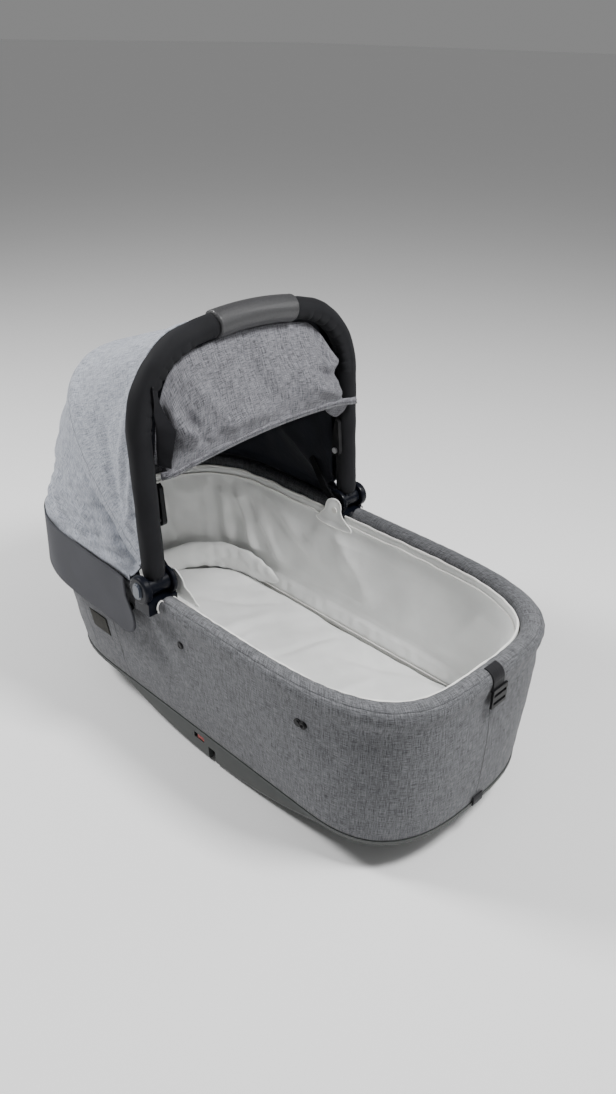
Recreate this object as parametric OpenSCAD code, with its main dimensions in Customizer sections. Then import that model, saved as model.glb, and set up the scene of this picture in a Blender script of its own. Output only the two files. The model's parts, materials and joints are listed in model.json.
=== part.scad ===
// Carrycot of a baby pram: padded fabric tub on a plastic rocker base, with a swinging
// carry handle that is also the front bow of the hood, a rear hood bow and a sun visor.
// X runs across the cot, the head end is towards +Y, the cot stands on its feet at Z = 0.

/* [Tub outline] */
// Half width of the tub, measured to the middle of the padded rim
rim_half_width = 204; // [180:1:240]
// Distance from the centre to the middle of the rim at the foot end
rim_foot = 404; // [370:1:450]
// Distance from the centre to the middle of the rim at the head end
rim_head = 402; // [370:1:450]
// Height of the middle of the rim above the ground
rim_height = 279; // [240:1:320]
// Half width of the tub where the cover meets the base
floor_half_width = 188; // [165:1:225]
// Distance from the centre to the base outline at the foot end
floor_foot = 410; // [370:1:455]
// Distance from the centre to the base outline at the head end
floor_head = 386; // [350:1:430]
// Height of the seam between cover and base
seam_height = 59; // [50:1:75]
// Squareness of the rim corners at the foot end
rim_foot_power = 3.8; // [2.2:0.1:4.5]
// Squareness of the rim corners at the head end
rim_head_power = 2.8; // [2.2:0.1:4]
// Squareness of the base corners
floor_power = 2.8; // [2.2:0.1:4]

/* [Rim] */
// Radius of the padded rim roll
roll_radius = 15; // [12:0.5:20]
// Radius of the metal rim tube
rim_tube_radius = 7; // [5:0.5:8]
// How far the rim tube lies below the middle of the roll
rim_tube_drop = 4; // [0:0.5:5]
// Thickness of the cover cloth
cloth = 1.6; // [1:0.1:2.5]
// Thickness of the stiffening boards in the wall
board_thickness = 2.5; // [2:0.5:5]

/* [Base] */
// Thickness of the moulded tray floor
tray_thickness = 8.5; // [5:0.5:12]
// Height of the tray lip inside the cover
lip_height = 20; // [10:1:30]
// Radius of the rocker curve
rocker_radius = 760; // [600:10:1000]
// Middle of the rocker curve along the cot
rocker_y = -40; // [-80:1:0]
// Height of the rocker edge above the ground at its middle
rocker_lift = 4; // [2:0.5:8]
// Thickness of the rocker skirt
skirt_thickness = 12; // [8:0.5:16]
// Distance from the centre to the inner face of the rocker skirt
skirt_inner = 172.5; // [150:0.5:180]
// Radius of the rubber feet
foot_radius = 14; // [10:1:20]
// Thickness of the rubber feet
foot_thickness = 4; // [3:0.5:10]

/* [Mattress] */
// Thickness of the mattress
mattress_thickness = 27; // [20:1:40]
// Distance from the tub outline to the mattress edge
mattress_inset = 39; // [36:1:60]
// Thickness of the head bolster across the cot
bolster_depth = 26; // [15:1:40]
// Height of the head bolster
bolster_height = 48; // [30:1:70]

/* [Hinge] */
// Position of the hinge axis along the cot
hinge_y = 43; // [20:1:70]
// Height of the hinge axis above the middle of the rim roll
hinge_rise = 25; // [21:1:51]
// Radius of the fixed hinge discs
disc_radius = 21.5; // [20:0.5:26]
// Radius of the hinge pin
pin_radius = 5; // [4:0.5:6]
// Radius of the turning spool of the handle
spool_radius = 14; // [13.5:0.5:15]
// Running clearance of pins and studs in their bores
running_gap = 0.05; // [0.02:0.01:0.1]
// How far the lock button goes in
button_travel = 2.2; // [1.5:0.1:2.3]

/* [Handle] */
// Half distance between the two legs of the handle
leg_x = 205; // [180:1:240]
// Height of the top of the handle above the hinge axis
arch_height = 355; // [300:1:420]
// Radius of the handle corners
corner_radius = 118; // [90:1:140]
// Radius of the handle top
top_radius = 560; // [400:10:900]
// Radius of the handle tube
tube_radius = 10; // [8:0.5:11]
// Outer radius of the soft sleeve
sleeve_radius = 17; // [15:0.5:18]
// Outer radius of the grip
grip_radius = 20.5; // [18:0.5:24]
// Half length of the grip
grip_half = 72; // [50:1:90]
// Distance of the grip from the middle of the handle
grip_shift = 10; // [-20:1:20]
// Backward lean of the upright handle
lean = 3.4; // [0:0.1:8]

/* [Hood] */
// Length of the rear hood bow from the hinge axis to its top
bow_length = 390; // [350:1:430]
// Half width of the rear hood bow
bow_half_width = 203; // [180:1:215]
// Angle of the rear hood bow from upright
bow_angle = 50; // [40:1:60]
// Thickness of the hood shells
hood_cloth = 2; // [1.5:0.1:4]
// Height of the dark band round the head end
band_height = 94; // [60:1:120]
// Gap between the rim roll and the band
band_gap = 5.5; // [4:0.5:12]
// Drop of the visor from its turning axis to its stiff brim
visor_drop = 156; // [100:1:180]

/* [Hidden] */

// Small clearance between pieces that lie against each other
gap = 0.3;
// Ends of the straight sides, at the rim and at the base
rim_foot_bend = -70;
rim_head_bend = 212;
floor_foot_bend = -251;
floor_head_bend = 196;
// Half length of the break in the rim roll at each hinge
rim_break = 23;
// Number of steps round each end of the tub
end_steps = 30;

function mix(a, b, f) = a + (b - a) * f;
function rise(z) = (z - seam_height) / (rim_height - seam_height);
function half_width(z) = mix(floor_half_width, rim_half_width, rise(z));
function foot_reach(z) = mix(floor_foot, rim_foot, rise(z));
function head_reach(z) = mix(floor_head, rim_head, rise(z));
function foot_bend(z) = mix(floor_foot_bend, rim_foot_bend, rise(z));
function head_bend(z) = mix(floor_head_bend, rim_head_bend, rise(z));
function foot_power(z) = mix(floor_power, rim_foot_power, rise(z));
function head_power(z) = mix(floor_power, rim_head_power, rise(z));
function bulge(s, p) = sign(s) * pow(abs(s), 2 / p);

// A point round the tub: turn 0 to 180 goes round the head end, 180 to 360 round the foot end.
function head_point(t, z, out) = [
    (half_width(z) + out) * bulge(cos(t), head_power(z)),
    head_bend(z) + (head_reach(z) + out - head_bend(z)) * bulge(sin(t), head_power(z)), z];
function foot_point(t, z, out) = [
    (half_width(z) + out) * bulge(cos(t), foot_power(z)),
    foot_bend(z) + (foot_reach(z) + out + foot_bend(z)) * bulge(sin(t), foot_power(z)), z];
function side_point(side, y, z, out) = [side * (half_width(z) + out), y, z];
// A station is [kind, value]: kind 0 head turn, kind 1 foot turn, kind 2 right side, kind 3 left side.
function tub_point(s, z, out) =
    s[0] == 0 ? head_point(s[1], z, out) :
    s[0] == 1 ? foot_point(s[1], z, out) :
    side_point(s[0] == 2 ? 1 : -1, s[1], z, out);
head_turns = [for (i = [0 : end_steps]) [0, 180 * i / end_steps]];
foot_turns = [for (i = [0 : end_steps]) [1, 180 + 180 * i / end_steps]];
all_round = concat(head_turns, foot_turns);
head_part = concat([[2, hinge_y + rim_break]], head_turns, [[3, hinge_y + rim_break]]);
foot_part = concat([[3, hinge_y - rim_break]], foot_turns, [[2, hinge_y - rim_break]]);

// Solid made by carrying a section round stations; the section is a list of [out, z].
// With a level, the whole section follows the outline of that one height.
module carried(stations, section, closed, level = undef) {
    n = len(stations);
    m = len(section);
    points = [for (s = stations) for (q = section)
        let (p = tub_point(s, is_undef(level) ? q[1] : level, q[0])) [p[0], p[1], q[1]]];
    last = closed ? n - 1 : n - 2;
    sides = [for (i = [0 : last]) for (j = [0 : m - 1])
        let (a = i * m + j, b = i * m + (j + 1) % m, c = ((i + 1) % n) * m + (j + 1) % m,
            d = ((i + 1) % n) * m + j)
        each [[a, b, c], [a, c, d]]];
    ends = closed ? [] : [[for (j = [m - 1 : -1 : 0]) j], [for (j = [0 : m - 1]) (n - 1) * m + j]];
    polyhedron(points, concat(sides, ends), convexity = 10);
}
// Section of a wall: inner and outer offsets at each height.
function wall_section(levels, inner, outer) = concat(
    [for (i = [0 : len(levels) - 1]) [outer[i], levels[i]]],
    [for (i = [len(levels) - 1 : -1 : 0]) [inner[i], levels[i]]]);
// Part of a ring round the roll middle, open below.
function roll_section(inner_radius, outer_radius, start, stop, steps, drop) = concat(
    [for (i = [0 : steps]) let (a = mix(start, stop, i / steps))
        [outer_radius * cos(a), rim_height + outer_radius * sin(a)]],
    [for (i = [steps : -1 : 0]) let (a = mix(start, stop, i / steps))
        [inner_radius * cos(a), rim_height - drop + inner_radius * sin(a)]]);
// Solid of rings of points, each ring closed; capped at both ends unless the rings close on themselves.
module lofted(rings, closed) {
    n = len(rings);
    m = len(rings[0]);
    points = [for (r = rings) each r];
    last = closed ? n - 1 : n - 2;
    sides = [for (i = [0 : last]) for (j = [0 : m - 1])
        let (a = i * m + j, b = i * m + (j + 1) % m, c = ((i + 1) % n) * m + (j + 1) % m,
            d = ((i + 1) % n) * m + j)
        each [[a, b, c], [a, c, d]]];
    ends = closed ? [] : [[for (j = [m - 1 : -1 : 0]) j], [for (j = [0 : m - 1]) (n - 1) * m + j]];
    polyhedron(points, concat(sides, ends), convexity = 10);
}
// Sheet with a thickness, from two equal grids of points, the outer and the inner one.
module shell(outer_grid, inner_grid) {
    lofted([for (i = [0 : len(outer_grid) - 1]) concat(outer_grid[i],
        [for (j = [len(inner_grid[i]) - 1 : -1 : 0]) inner_grid[i][j]])], false);
}
// Coil spring along Z from the origin.
module coil(radius, wire, length, turns) {
    steps = turns * 12;
    lofted([for (i = [0 : steps]) let (a = 360 * turns * i / steps)
        [for (k = [0 : 5]) let (b = -60 * k, r = radius + wire * cos(b))
            [r * cos(a), r * sin(a), wire + (length - 2 * wire) * i / steps + wire * sin(b)]]], false);
}
module pair_right() { children(); }
module pair_left() { mirror([1, 0, 0]) children(); }
module along_x(x_start, y, z) { translate([x_start, y, z]) rotate([0, 90, 0]) children(); }
module outline(z, out) {
    polygon([for (s = all_round) let (q = tub_point(s, z, out)) [q[0], q[1]]]);
}

// Offsets of the outer face of the cover at each height of the wall
wall_levels = [seam_height + 2, 100, 130, 160, 220, rim_height - 21, rim_height - 14.2];
wall_outer = [0, 3, 5, 7, 9, 9.5, 7.6];
function less(list, d) = [for (v = list) v - d];
board_face = cloth + 0.9;
hinge_z = rim_height + hinge_rise;
lip_face = board_face + board_thickness + 0.6;
liner_levels = [66, 96, 140, 200, rim_height - 17];
liner_inner = [-38, -37, -29, -21, -17];
function wall_offset(z) = lookup(z, [for (i = [0 : len(wall_levels) - 1]) [wall_levels[i], wall_outer[i]]]);

// ---- base ----
tray_bottom = seam_height - tray_thickness;
boss_places = [[120, 155], [120, -225], [-120, 155], [-120, -225]];
notch_y = [rocker_y - 14, rocker_y + 2];
notch_top = 30;
window_y = [rocker_y + 12, rocker_y + 36];
window_z = [31, 41];
module rocker_skirt() {
    reach = 25;
    top = rocker_radius - 60;
    translate([skirt_inner, rocker_y, rocker_radius + rocker_lift])
        rotate([0, 90, 0])
            rotate([0, 0, -reach])
                rotate_extrude(angle = 2 * reach, $fn = 360)
                    polygon([[top, 0], [rocker_radius - 5, 0], [rocker_radius - 1.5, 1.5],
                        [rocker_radius, 4], [rocker_radius, skirt_thickness - 6],
                        [rocker_radius - 1.5, skirt_thickness - 3],
                        [rocker_radius - 6, skirt_thickness - 1.5],
                        [rocker_radius - 40, skirt_thickness], [top, skirt_thickness]]);
}
module cut_skirt() {
    difference() {
        intersection() {
            rocker_skirt();
            translate([0, -400, 0]) cube([300, 800, tray_bottom + 1]);
        }
        translate([skirt_inner - 5, notch_y[0], -1])
            cube([skirt_thickness + 10, notch_y[1] - notch_y[0], notch_top + 1]);
        translate([skirt_inner - 5, window_y[0], window_z[0]])
            cube([skirt_thickness + 10, window_y[1] - window_y[0], window_z[1] - window_z[0]]);
    }
}
module base_tray() {
    color("#4d524f") {
        translate([0, 0, tray_bottom + 3]) linear_extrude(tray_thickness - 3) outline(seam_height, 2);
        translate([0, 0, tray_bottom]) linear_extrude(3.01) outline(seam_height, -1);
        translate([0, 0, seam_height - 0.01]) linear_extrude(lip_height) difference() {
            outline(seam_height, -lip_face);
            outline(seam_height, -lip_inside);
        }
        pair_right() cut_skirt();
        pair_left() cut_skirt();
        for (p = boss_places)
            translate([p[0], p[1], foot_thickness])
                cylinder(h = tray_bottom - foot_thickness + 1, r = foot_radius + 3, $fn = 64);
    }
}
module rubber_feet() {
    color("#1c1c1c") for (p = boss_places)
        translate([p[0], p[1], 0]) cylinder(h = foot_thickness, r = foot_radius, $fn = 64);
}
board_top = seam_height + 5.5;
module floor_board() {
    color("#b9a88a") translate([0, 0, seam_height]) linear_extrude(board_top - seam_height)
        outline(seam_height, -lip_inside - gap);
}

// ---- wall and rim ----
module rim_tube() {
    color("#8a8d90") carried(all_round, [for (k = [0 : 11])
        [rim_tube_radius * cos(30 * k), rim_height - rim_tube_drop + rim_tube_radius * sin(30 * k)]],
        true, rim_height);
}
foam_radius = roll_radius - cloth - gap;
foam_cuts = [0, 6, 11, 16, 21, 26, 32];
foam_joint = 0.15;
// The stations of one foam length; a narrow joint is left before each length but the first.
function foam_length(part, k) = [for (i = [foam_cuts[k] : foam_cuts[k + 1]])
    k > 0 && i == foam_cuts[k] ? [part[i][0], part[i][1] + foam_joint] : part[i]];
module rim_padding() {
    section = roll_section(rim_tube_radius + gap, foam_radius, -65, 245, 10, rim_tube_drop);
    color("#3c3c3e") for (part = [head_part, foot_part], k = [0 : 5])
        carried(foam_length(part, k), section, false, rim_height);
}
module rim_cover() {
    section = roll_section(roll_radius - cloth, roll_radius, -65, 245, 14, 0);
    color("#77787c") for (part = [head_part, foot_part]) carried(part, section, false, rim_height);
}
function board_section() = wall_section(wall_levels, less(wall_outer, board_face + board_thickness),
    less(wall_outer, board_face));
turn_step = 180 / end_steps;
corner_turn = 2 * turn_step;
side_turns = [0 : turn_step : corner_turn];
module side_board_right() {
    color("#d7d4cc") carried(concat([for (t = side_turns) [1, 360 - corner_turn + t]],
        [for (t = side_turns) [0, t]]), board_section(), false);
}
module side_board_left() {
    color("#d7d4cc") carried(concat([for (t = side_turns) [0, 180 - corner_turn + t]],
        [for (t = side_turns) [1, 180 + t]]), board_section(), false);
}
end_turns = [for (i = [3 : end_steps - 3]) turn_step * i];
module head_board() { color("#d7d4cc") carried([for (t = end_turns) [0, t]], board_section(), false); }
module foot_board() { color("#d7d4cc") carried([for (t = end_turns) [1, 180 + t]], board_section(), false); }
module side_cover() {
    color("#85868a") carried(all_round, wall_section(wall_levels, less(wall_outer, cloth), wall_outer), true);
}
liner_face = board_face + board_thickness + 0.6;
lip_top = seam_height + lip_height;
lip_inside = lip_face + 3;
module liner() {
    levels = concat([liner_levels[0], lip_top + 1, lip_top + 7], [for (i = [1 : 4]) liner_levels[i]]);
    outs = [for (z = levels) z < lip_top + 2 ? -lip_inside - 3.4 :
        min(wall_offset(z) - liner_face - 1.6, roll_radius)];
    ins = [for (z = levels) lookup(z, [for (i = [0 : 4]) [liner_levels[i], liner_inner[i]]])];
    color("#ecebe6") carried(all_round, wall_section(levels, ins, outs), true);
}
module liner_binding() {
    foot = rim_height - 16.7;
    top = rim_height - 2;
    face = -roll_radius - 1;
    color("#f4f3ee") for (part = [head_part, foot_part])
        carried(part, [[face, foot], [face, top], [face - 2.5, top + 1],
            [face - 4, top - 3], [face - 4, foot]], false, rim_height);
}
tab_x = 168;
module tab_shape() {
    translate([tab_x, hinge_y, 0]) rotate([90, 0, 90]) linear_extrude(cloth) union() {
        translate([-4, 298]) circle(r = 15, $fn = 48);
        polygon([[-19, 298], [-24, rim_height - 16.5], [24, rim_height - 16.5], [10, 304], [-4, 298]]);
    }
}
module liner_tabs() { color("#efeee9") { pair_right() tab_shape(); pair_left() tab_shape(); } }
module tab_snap() { along_x(tab_x - 1.8 - 0.05, hinge_y - 8, 296) cylinder(h = 1.8, r = 5.5, $fn = 40); }
module tab_snaps() { color("#f2f1ea") { pair_right() tab_snap(); pair_left() tab_snap(); } }

snap_z = 228;
snap_places = [-17, -256];
function past_bend(y, z, out) = max(0, foot_bend(z) - y) / (foot_reach(z) + out + foot_bend(z));
function side_bow(y, z, out) = (half_width(z) + out) *
    pow(1 - pow(past_bend(y, z, out), foot_power(z)), 1 / foot_power(z));
function wall_face(y, z) = side_bow(y, z, wall_offset(z));
module side_snap(y) {
    turn = atan((wall_face(y + 5, snap_z) - wall_face(y - 5, snap_z)) / 10);
    slope = atan((wall_face(y, snap_z + 5) - wall_face(y, snap_z - 5)) / 10);
    translate([wall_face(y, snap_z), y, snap_z]) rotate([0, 0, -turn]) rotate([0, 90 + slope, 0])
        translate([0, 0, gap]) {
            cylinder(h = 1.6, r = 6.5, $fn = 40);
            cylinder(h = 3, r = 3.6, $fn = 40);
        }
}
module side_snaps() {
    color("#1a1a1c") for (y = snap_places) { pair_right() side_snap(y); pair_left() side_snap(y); }
}
strap_width = 25;
strap_radius = roll_radius + gap;
module foot_strap() {
    color("#202022") translate([-strap_width / 2, 0, 0]) rotate([90, 0, 90]) linear_extrude(strap_width) {
        translate([-rim_foot, rim_height]) difference() {
            circle(r = strap_radius + 1.5, $fn = 96);
            circle(r = strap_radius, $fn = 96);
            translate([0, -roll_radius - 5]) square([roll_radius * 2, roll_radius], center = true);
            translate([0, -roll_radius - 5]) square([roll_radius + 10, roll_radius + 5.5]);
        }
        translate([-rim_foot - strap_radius - 1.5, rim_height - 42]) square([1.5, 42]);
    }
}
module strap_slider() {
    color("#141416") difference() {
        translate([-16, -rim_foot - strap_radius - 5.5, rim_height - 38]) cube([32, 3.7, 30]);
        for (z = [rim_height - 33, rim_height - 20])
            translate([-13.5, -rim_foot - strap_radius - 7, z]) cube([27, 7, 5]);
    }
}
module foot_tab() {
    y = foot_reach(seam_height + 8) + 2.4;
    color("#18181a") translate([-11, -y - 3, seam_height - 2]) cube([22, 2.6, 15]);
}
label_levels = [136, 153, 170];
module side_label() {
    faces = [for (z = label_levels) wall_offset(z) + gap];
    color("#5d5b4e") carried([[3, 194], [3, 148]],
        wall_section(label_levels, faces, [for (f = faces) f + 0.9]), false);
}

// ---- hinge ----
inner_disc = [179, 186.5];
outer_disc = [223.5, 236];
spool_ends = [187, 223];
recess_x = outer_disc[1] - 2 - button_travel - gap;
pin_ends = [170.2, recess_x - 0.2];
leg_drop = 9;
bracket_bottom = rim_height - 13.9;
bracket_top = rim_height + 6;
module rounded_disc(x_start, x_end, radius) {
    w = x_end - x_start;
    f = min(3, w / 3);
    along_x(x_start, hinge_y, hinge_z) rotate_extrude($fn = 96)
        polygon([[0, 0], [radius - f, 0], [radius - 0.3 * f, 0.3 * f], [radius, f], [radius, w - f],
            [radius - 0.3 * f, w - 0.3 * f], [radius - f, w], [0, w]]);
}
button_size = [20, 27];
module oval(size, clearance) {
    w = size[0] / 2 + clearance;
    h = size[1] / 2 + clearance;
    union() {
        for (s = [-1, 1]) translate([0, s * (h - w)]) circle(r = w, $fn = 64);
        square([2 * w, 2 * (h - w)], center = true);
    }
}
// Draws a flat shape in the YZ plane and gives it a thickness along X.
module facing_x(x_start, thickness) {
    translate([x_start, hinge_y, hinge_z]) rotate([90, 0, 90]) linear_extrude(thickness) children();
}
module hinge_base() {
    difference() {
        union() {
            rounded_disc(inner_disc[0], inner_disc[1], disc_radius);
            rounded_disc(outer_disc[0], outer_disc[1], disc_radius);
            translate([inner_disc[0], hinge_y - 14, bracket_bottom])
                cube([inner_disc[1] - inner_disc[0], 28, hinge_z - bracket_bottom]);
            translate([outer_disc[0], hinge_y - 14, bracket_bottom])
                cube([7.5, 28, hinge_z - bracket_bottom]);
            translate([inner_disc[0], hinge_y - 17, bracket_bottom])
                cube([outer_disc[0] + 7.5 - inner_disc[0], 34, bracket_top - bracket_bottom]);
        }
        translate([rim_half_width, hinge_y - 30, rim_height - rim_tube_drop]) rotate([-90, 0, 0])
            cylinder(h = 60, r = rim_tube_radius + running_gap, $fn = 64);
        along_x(inner_disc[0] - 1, hinge_y, hinge_z)
            cylinder(h = recess_x - inner_disc[0] + 1, r = pin_radius + running_gap, $fn = 64);
        facing_x(recess_x, 10) oval(button_size, 0.3);
        for (s = [-1, 1]) along_x(outer_disc[0] - 1, hinge_y, hinge_z + s * leg_drop)
            cylinder(h = 15, r = 1.9, $fn = 32);
    }
}
module hinge_base_right() { color("#15171c") pair_right() hinge_base(); }
module hinge_base_left() { color("#15171c") pair_left() hinge_base(); }
module hinge_pin() {
    along_x(pin_ends[0], hinge_y, hinge_z) cylinder(h = pin_ends[1] - pin_ends[0], r = pin_radius, $fn = 64);
}
module hinge_pin_right() { color("#a9abad") pair_right() hinge_pin(); }
module hinge_pin_left() { color("#a9abad") pair_left() hinge_pin(); }
disc_faces = [217, 221.5];
clutch_radius = 12;
button_faces = [outer_disc[1] - 2, outer_disc[1] + 3.5];
module lock_button() {
    facing_x(button_faces[0], 2.5) oval(button_size, 0);
    facing_x(button_faces[0] + 2.5, 1.6) oval(button_size, -0.8);
    facing_x(button_faces[0] + 4.1, 1.4) oval(button_size, -2.6);
    for (s = [-1, 1]) along_x(disc_faces[1], hinge_y, hinge_z + s * leg_drop)
        cylinder(h = button_faces[0] - disc_faces[1] + 0.5, r = 1.5, $fn = 32);
}
module lock_button_right() { color("#4b4f55") pair_right() lock_button(); }
module lock_button_left() { color("#4b4f55") pair_left() lock_button(); }
module clutch_disc() {
    along_x(disc_faces[0], hinge_y, hinge_z) difference() {
        cylinder(h = disc_faces[1] - disc_faces[0], r = clutch_radius, $fn = 64);
        translate([0, 0, -1]) cylinder(h = 10, r = pin_radius + running_gap, $fn = 64);
    }
}
module clutch_disc_right() { color("#7c7f83") pair_right() clutch_disc(); }
module clutch_disc_left() { color("#7c7f83") pair_left() clutch_disc(); }
clutch_recess = 12;
module lock_spring() {
    floor_x = spool_ends[1] - clutch_recess;
    along_x(floor_x + 0.2, hinge_y, hinge_z) coil(8.2, 0.6, disc_faces[0] - floor_x - 0.4, 3);
}
module lock_spring_right() { color("#b9bbbd") pair_right() lock_spring(); }
module lock_spring_left() { color("#b9bbbd") pair_left() lock_spring(); }

// ---- seat latches in the rocker ----
latch_x = [158, 171];
latch_y = [rocker_y - 22, rocker_y + 40];
spring_room = 18;
module latch_housing() {
    difference() {
        translate([latch_x[0] - 4, latch_y[0] - 4, 18])
            cube([latch_x[1] - latch_x[0] + 4, latch_y[1] - latch_y[0] + spring_room + 8, tray_bottom - 18]);
        translate([latch_x[0], latch_y[0], 22])
            cube([30, latch_y[1] - latch_y[0] + spring_room, tray_bottom - 22 - 3]);
    }
}
module latch_housing_right() { color("#2b2d2e") pair_right() latch_housing(); }
module latch_housing_left() { color("#2b2d2e") pair_left() latch_housing(); }
module latch() {
    translate([latch_x[0] + gap, latch_y[0] + gap, 22 + gap])
        cube([latch_x[1] - latch_x[0] - gap, latch_y[1] - latch_y[0] - gap, tray_bottom - 25 - 2 * gap]);
    translate([latch_x[1] - 1, notch_y[0] + 0.5, 22 + gap]) cube([10, 5.5, 6]);
}
module latch_right() { color("#141414") pair_right() latch(); }
module latch_left() { color("#141414") pair_left() latch(); }
module latch_flag() {
    translate([latch_x[1] + 0.05, window_y[0] - 2, window_z[0] - 1])
        cube([0.9, window_y[1] - window_y[0] + 4, window_z[1] - window_z[0] + 2]);
}
module latch_flag_right() { color("#a3262a") pair_right() latch_flag(); }
module latch_flag_left() { color("#a3262a") pair_left() latch_flag(); }
module latch_spring() {
    translate([(latch_x[0] + latch_x[1]) / 2 + gap, latch_y[1] + 0.2, 34]) rotate([-90, 0, 0])
        coil(4, 0.7, spring_room - 0.4, 4);
}
module latch_spring_right() { color("#b9bbbd") pair_right() latch_spring(); }
module latch_spring_left() { color("#b9bbbd") pair_left() latch_spring(); }

// ---- carry handle ----
arch_top = hinge_z + arch_height;
corner_turned = acos((leg_x - corner_radius) / (top_radius - corner_radius));
corner_z = arch_top - top_radius + (top_radius - corner_radius) * sin(corner_turned);
tube_foot = hinge_z + 13.2;
boss_top = hinge_z + 32;
module leaning() {
    translate([0, hinge_y, hinge_z]) rotate([-lean, 0, 0]) translate([0, -hinge_y, -hinge_z]) children();
}
// Middle line of the handle: height above the axis where a leg starts, then corner, top and corner again.
corner_steps = 12;
top_steps = 12;
function leg_point(side, z) = [side * leg_x, hinge_y, z, side > 0 ? 0 : 180];
function corner_point(side, a) = [side * (leg_x - corner_radius + corner_radius * cos(a)), hinge_y,
    corner_z + corner_radius * sin(a), side > 0 ? a : 180 - a];
function top_point(a) = [top_radius * cos(a), hinge_y, arch_top - top_radius + top_radius * sin(a), a];
function side_line(heights, stop) = concat(
    [for (z = heights) leg_point(1, z)],
    [for (i = [0 : corner_steps]) corner_point(1, corner_turned * i / corner_steps)],
    [for (i = [1 : 3]) top_point(mix(corner_turned, stop, i / 3))]);
// Point on a round section at angle k about a place on the middle line.
function on_section(place, radius, k) = [
    place[0] + radius * cos(k) * cos(place[3]), place[1] + radius * sin(k),
    place[2] + radius * cos(k) * sin(place[3])];
module handle_tube() {
    line = concat([leg_point(1, tube_foot)],
        [for (i = [0 : corner_steps]) corner_point(1, corner_turned * i / corner_steps)],
        [for (i = [1 : top_steps - 1]) top_point(mix(corner_turned, 180 - corner_turned, i / top_steps))],
        [for (i = [corner_steps : -1 : 0]) corner_point(-1, corner_turned * i / corner_steps)],
        [leg_point(-1, tube_foot)]);
    color("#46484b") leaning() lofted([for (q = line)
        [for (k = [0 : 19]) on_section(q, tube_radius, -18 * k)]], false);
}
function top_angle(x) = acos(x / top_radius);
sleeve_bore = tube_radius + 2 * gap;
stud_z = hinge_z + 96;
// Hollow sleeve from the hinge to a place on the top, widened inside at the foot to pass the hub.
module sleeve(stop) {
    line = side_line([hinge_z + 16, boss_top + 0.5, boss_top + 1], stop);
    n = len(line);
    wall = [for (i = [0 : n - 1]) i < 2 ? spool_boss + 0.4 : sleeve_bore];
    difference() {
        lofted([for (k = [0 : 15]) concat(
            [for (i = [0 : n - 1]) on_section(line[i], sleeve_radius, 22.5 * k)],
            [for (i = [n - 1 : -1 : 0]) on_section(line[i], wall[i], 22.5 * k)])], true);
        along_x(leg_x - 25, hinge_y, stud_z) cylinder(h = 20, r = stud_radius + gap, $fn = 32);
    }
}
module handle_sleeve_right() { color("#333539") leaning() sleeve(top_angle(grip_shift + grip_half + 1)); }
module handle_sleeve_left() {
    color("#333539") leaning() mirror([1, 0, 0]) sleeve(top_angle(grip_half - grip_shift + 1));
}
module grip_cover() {
    start = top_angle(grip_shift + grip_half);
    stop = top_angle(grip_shift - grip_half);
    color("#5b5d61") leaning() translate([0, hinge_y, arch_top - top_radius]) rotate([90, 0, 0])
        rotate([0, 0, start]) rotate_extrude(angle = stop - start, $fn = 720) translate([top_radius, 0])
            difference() {
                circle(r = grip_radius, $fn = 48);
                circle(r = sleeve_bore, $fn = 48);
            }
}
spool_boss = 12.5;
module handle_hub() {
    difference() {
        union() {
            along_x(spool_ends[0], hinge_y, hinge_z)
                cylinder(h = spool_ends[1] - spool_ends[0], r = spool_radius, $fn = 96);
            translate([leg_x, hinge_y, hinge_z]) cylinder(h = boss_top - hinge_z, r = spool_boss, $fn = 64);
        }
        along_x(spool_ends[0] - 1, hinge_y, hinge_z) cylinder(h = 60, r = pin_radius + running_gap, $fn = 64);
        along_x(spool_ends[1] - clutch_recess, hinge_y, hinge_z)
            cylinder(h = 30, r = clutch_radius + gap, $fn = 64);
        translate([leg_x, hinge_y, tube_foot - 0.1])
            cylinder(h = 40, r = tube_radius + running_gap, $fn = 64);
    }
}
module handle_hub_right() { color("#22242a") leaning() pair_right() handle_hub(); }
module handle_hub_left() { color("#22242a") leaning() pair_left() handle_hub(); }
stud_radius = 3;
lever_faces = [178.5, 185.5];
module lever_stud() {
    along_x(lever_faces[0] - 2.5, hinge_y, stud_z) cylinder(h = 2.2, r = 5, $fn = 40);
    along_x(lever_faces[0] - 1, hinge_y, stud_z)
        cylinder(h = leg_x - tube_radius + 0.5 - lever_faces[0], r = stud_radius, $fn = 40);
}
module lever_stud_right() { color("#98999b") leaning() pair_right() lever_stud(); }
module lever_stud_left() { color("#98999b") leaning() pair_left() lever_stud(); }
module hood_lever() {
    translate([lever_faces[0], hinge_y, stud_z]) rotate([90, 0, 90])
        linear_extrude(lever_faces[1] - lever_faces[0])
        difference() {
            union() {
                circle(r = 9, $fn = 48);
                polygon([[-9, 0], [9, 0], [5, 36], [-1, 56], [-7, 50]]);
            }
            circle(r = stud_radius + running_gap, $fn = 40);
        }
}
module hood_lever_right() { color("#101114") leaning() pair_right() hood_lever(); }
module hood_lever_left() { color("#101114") leaning() pair_left() hood_lever(); }

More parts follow.
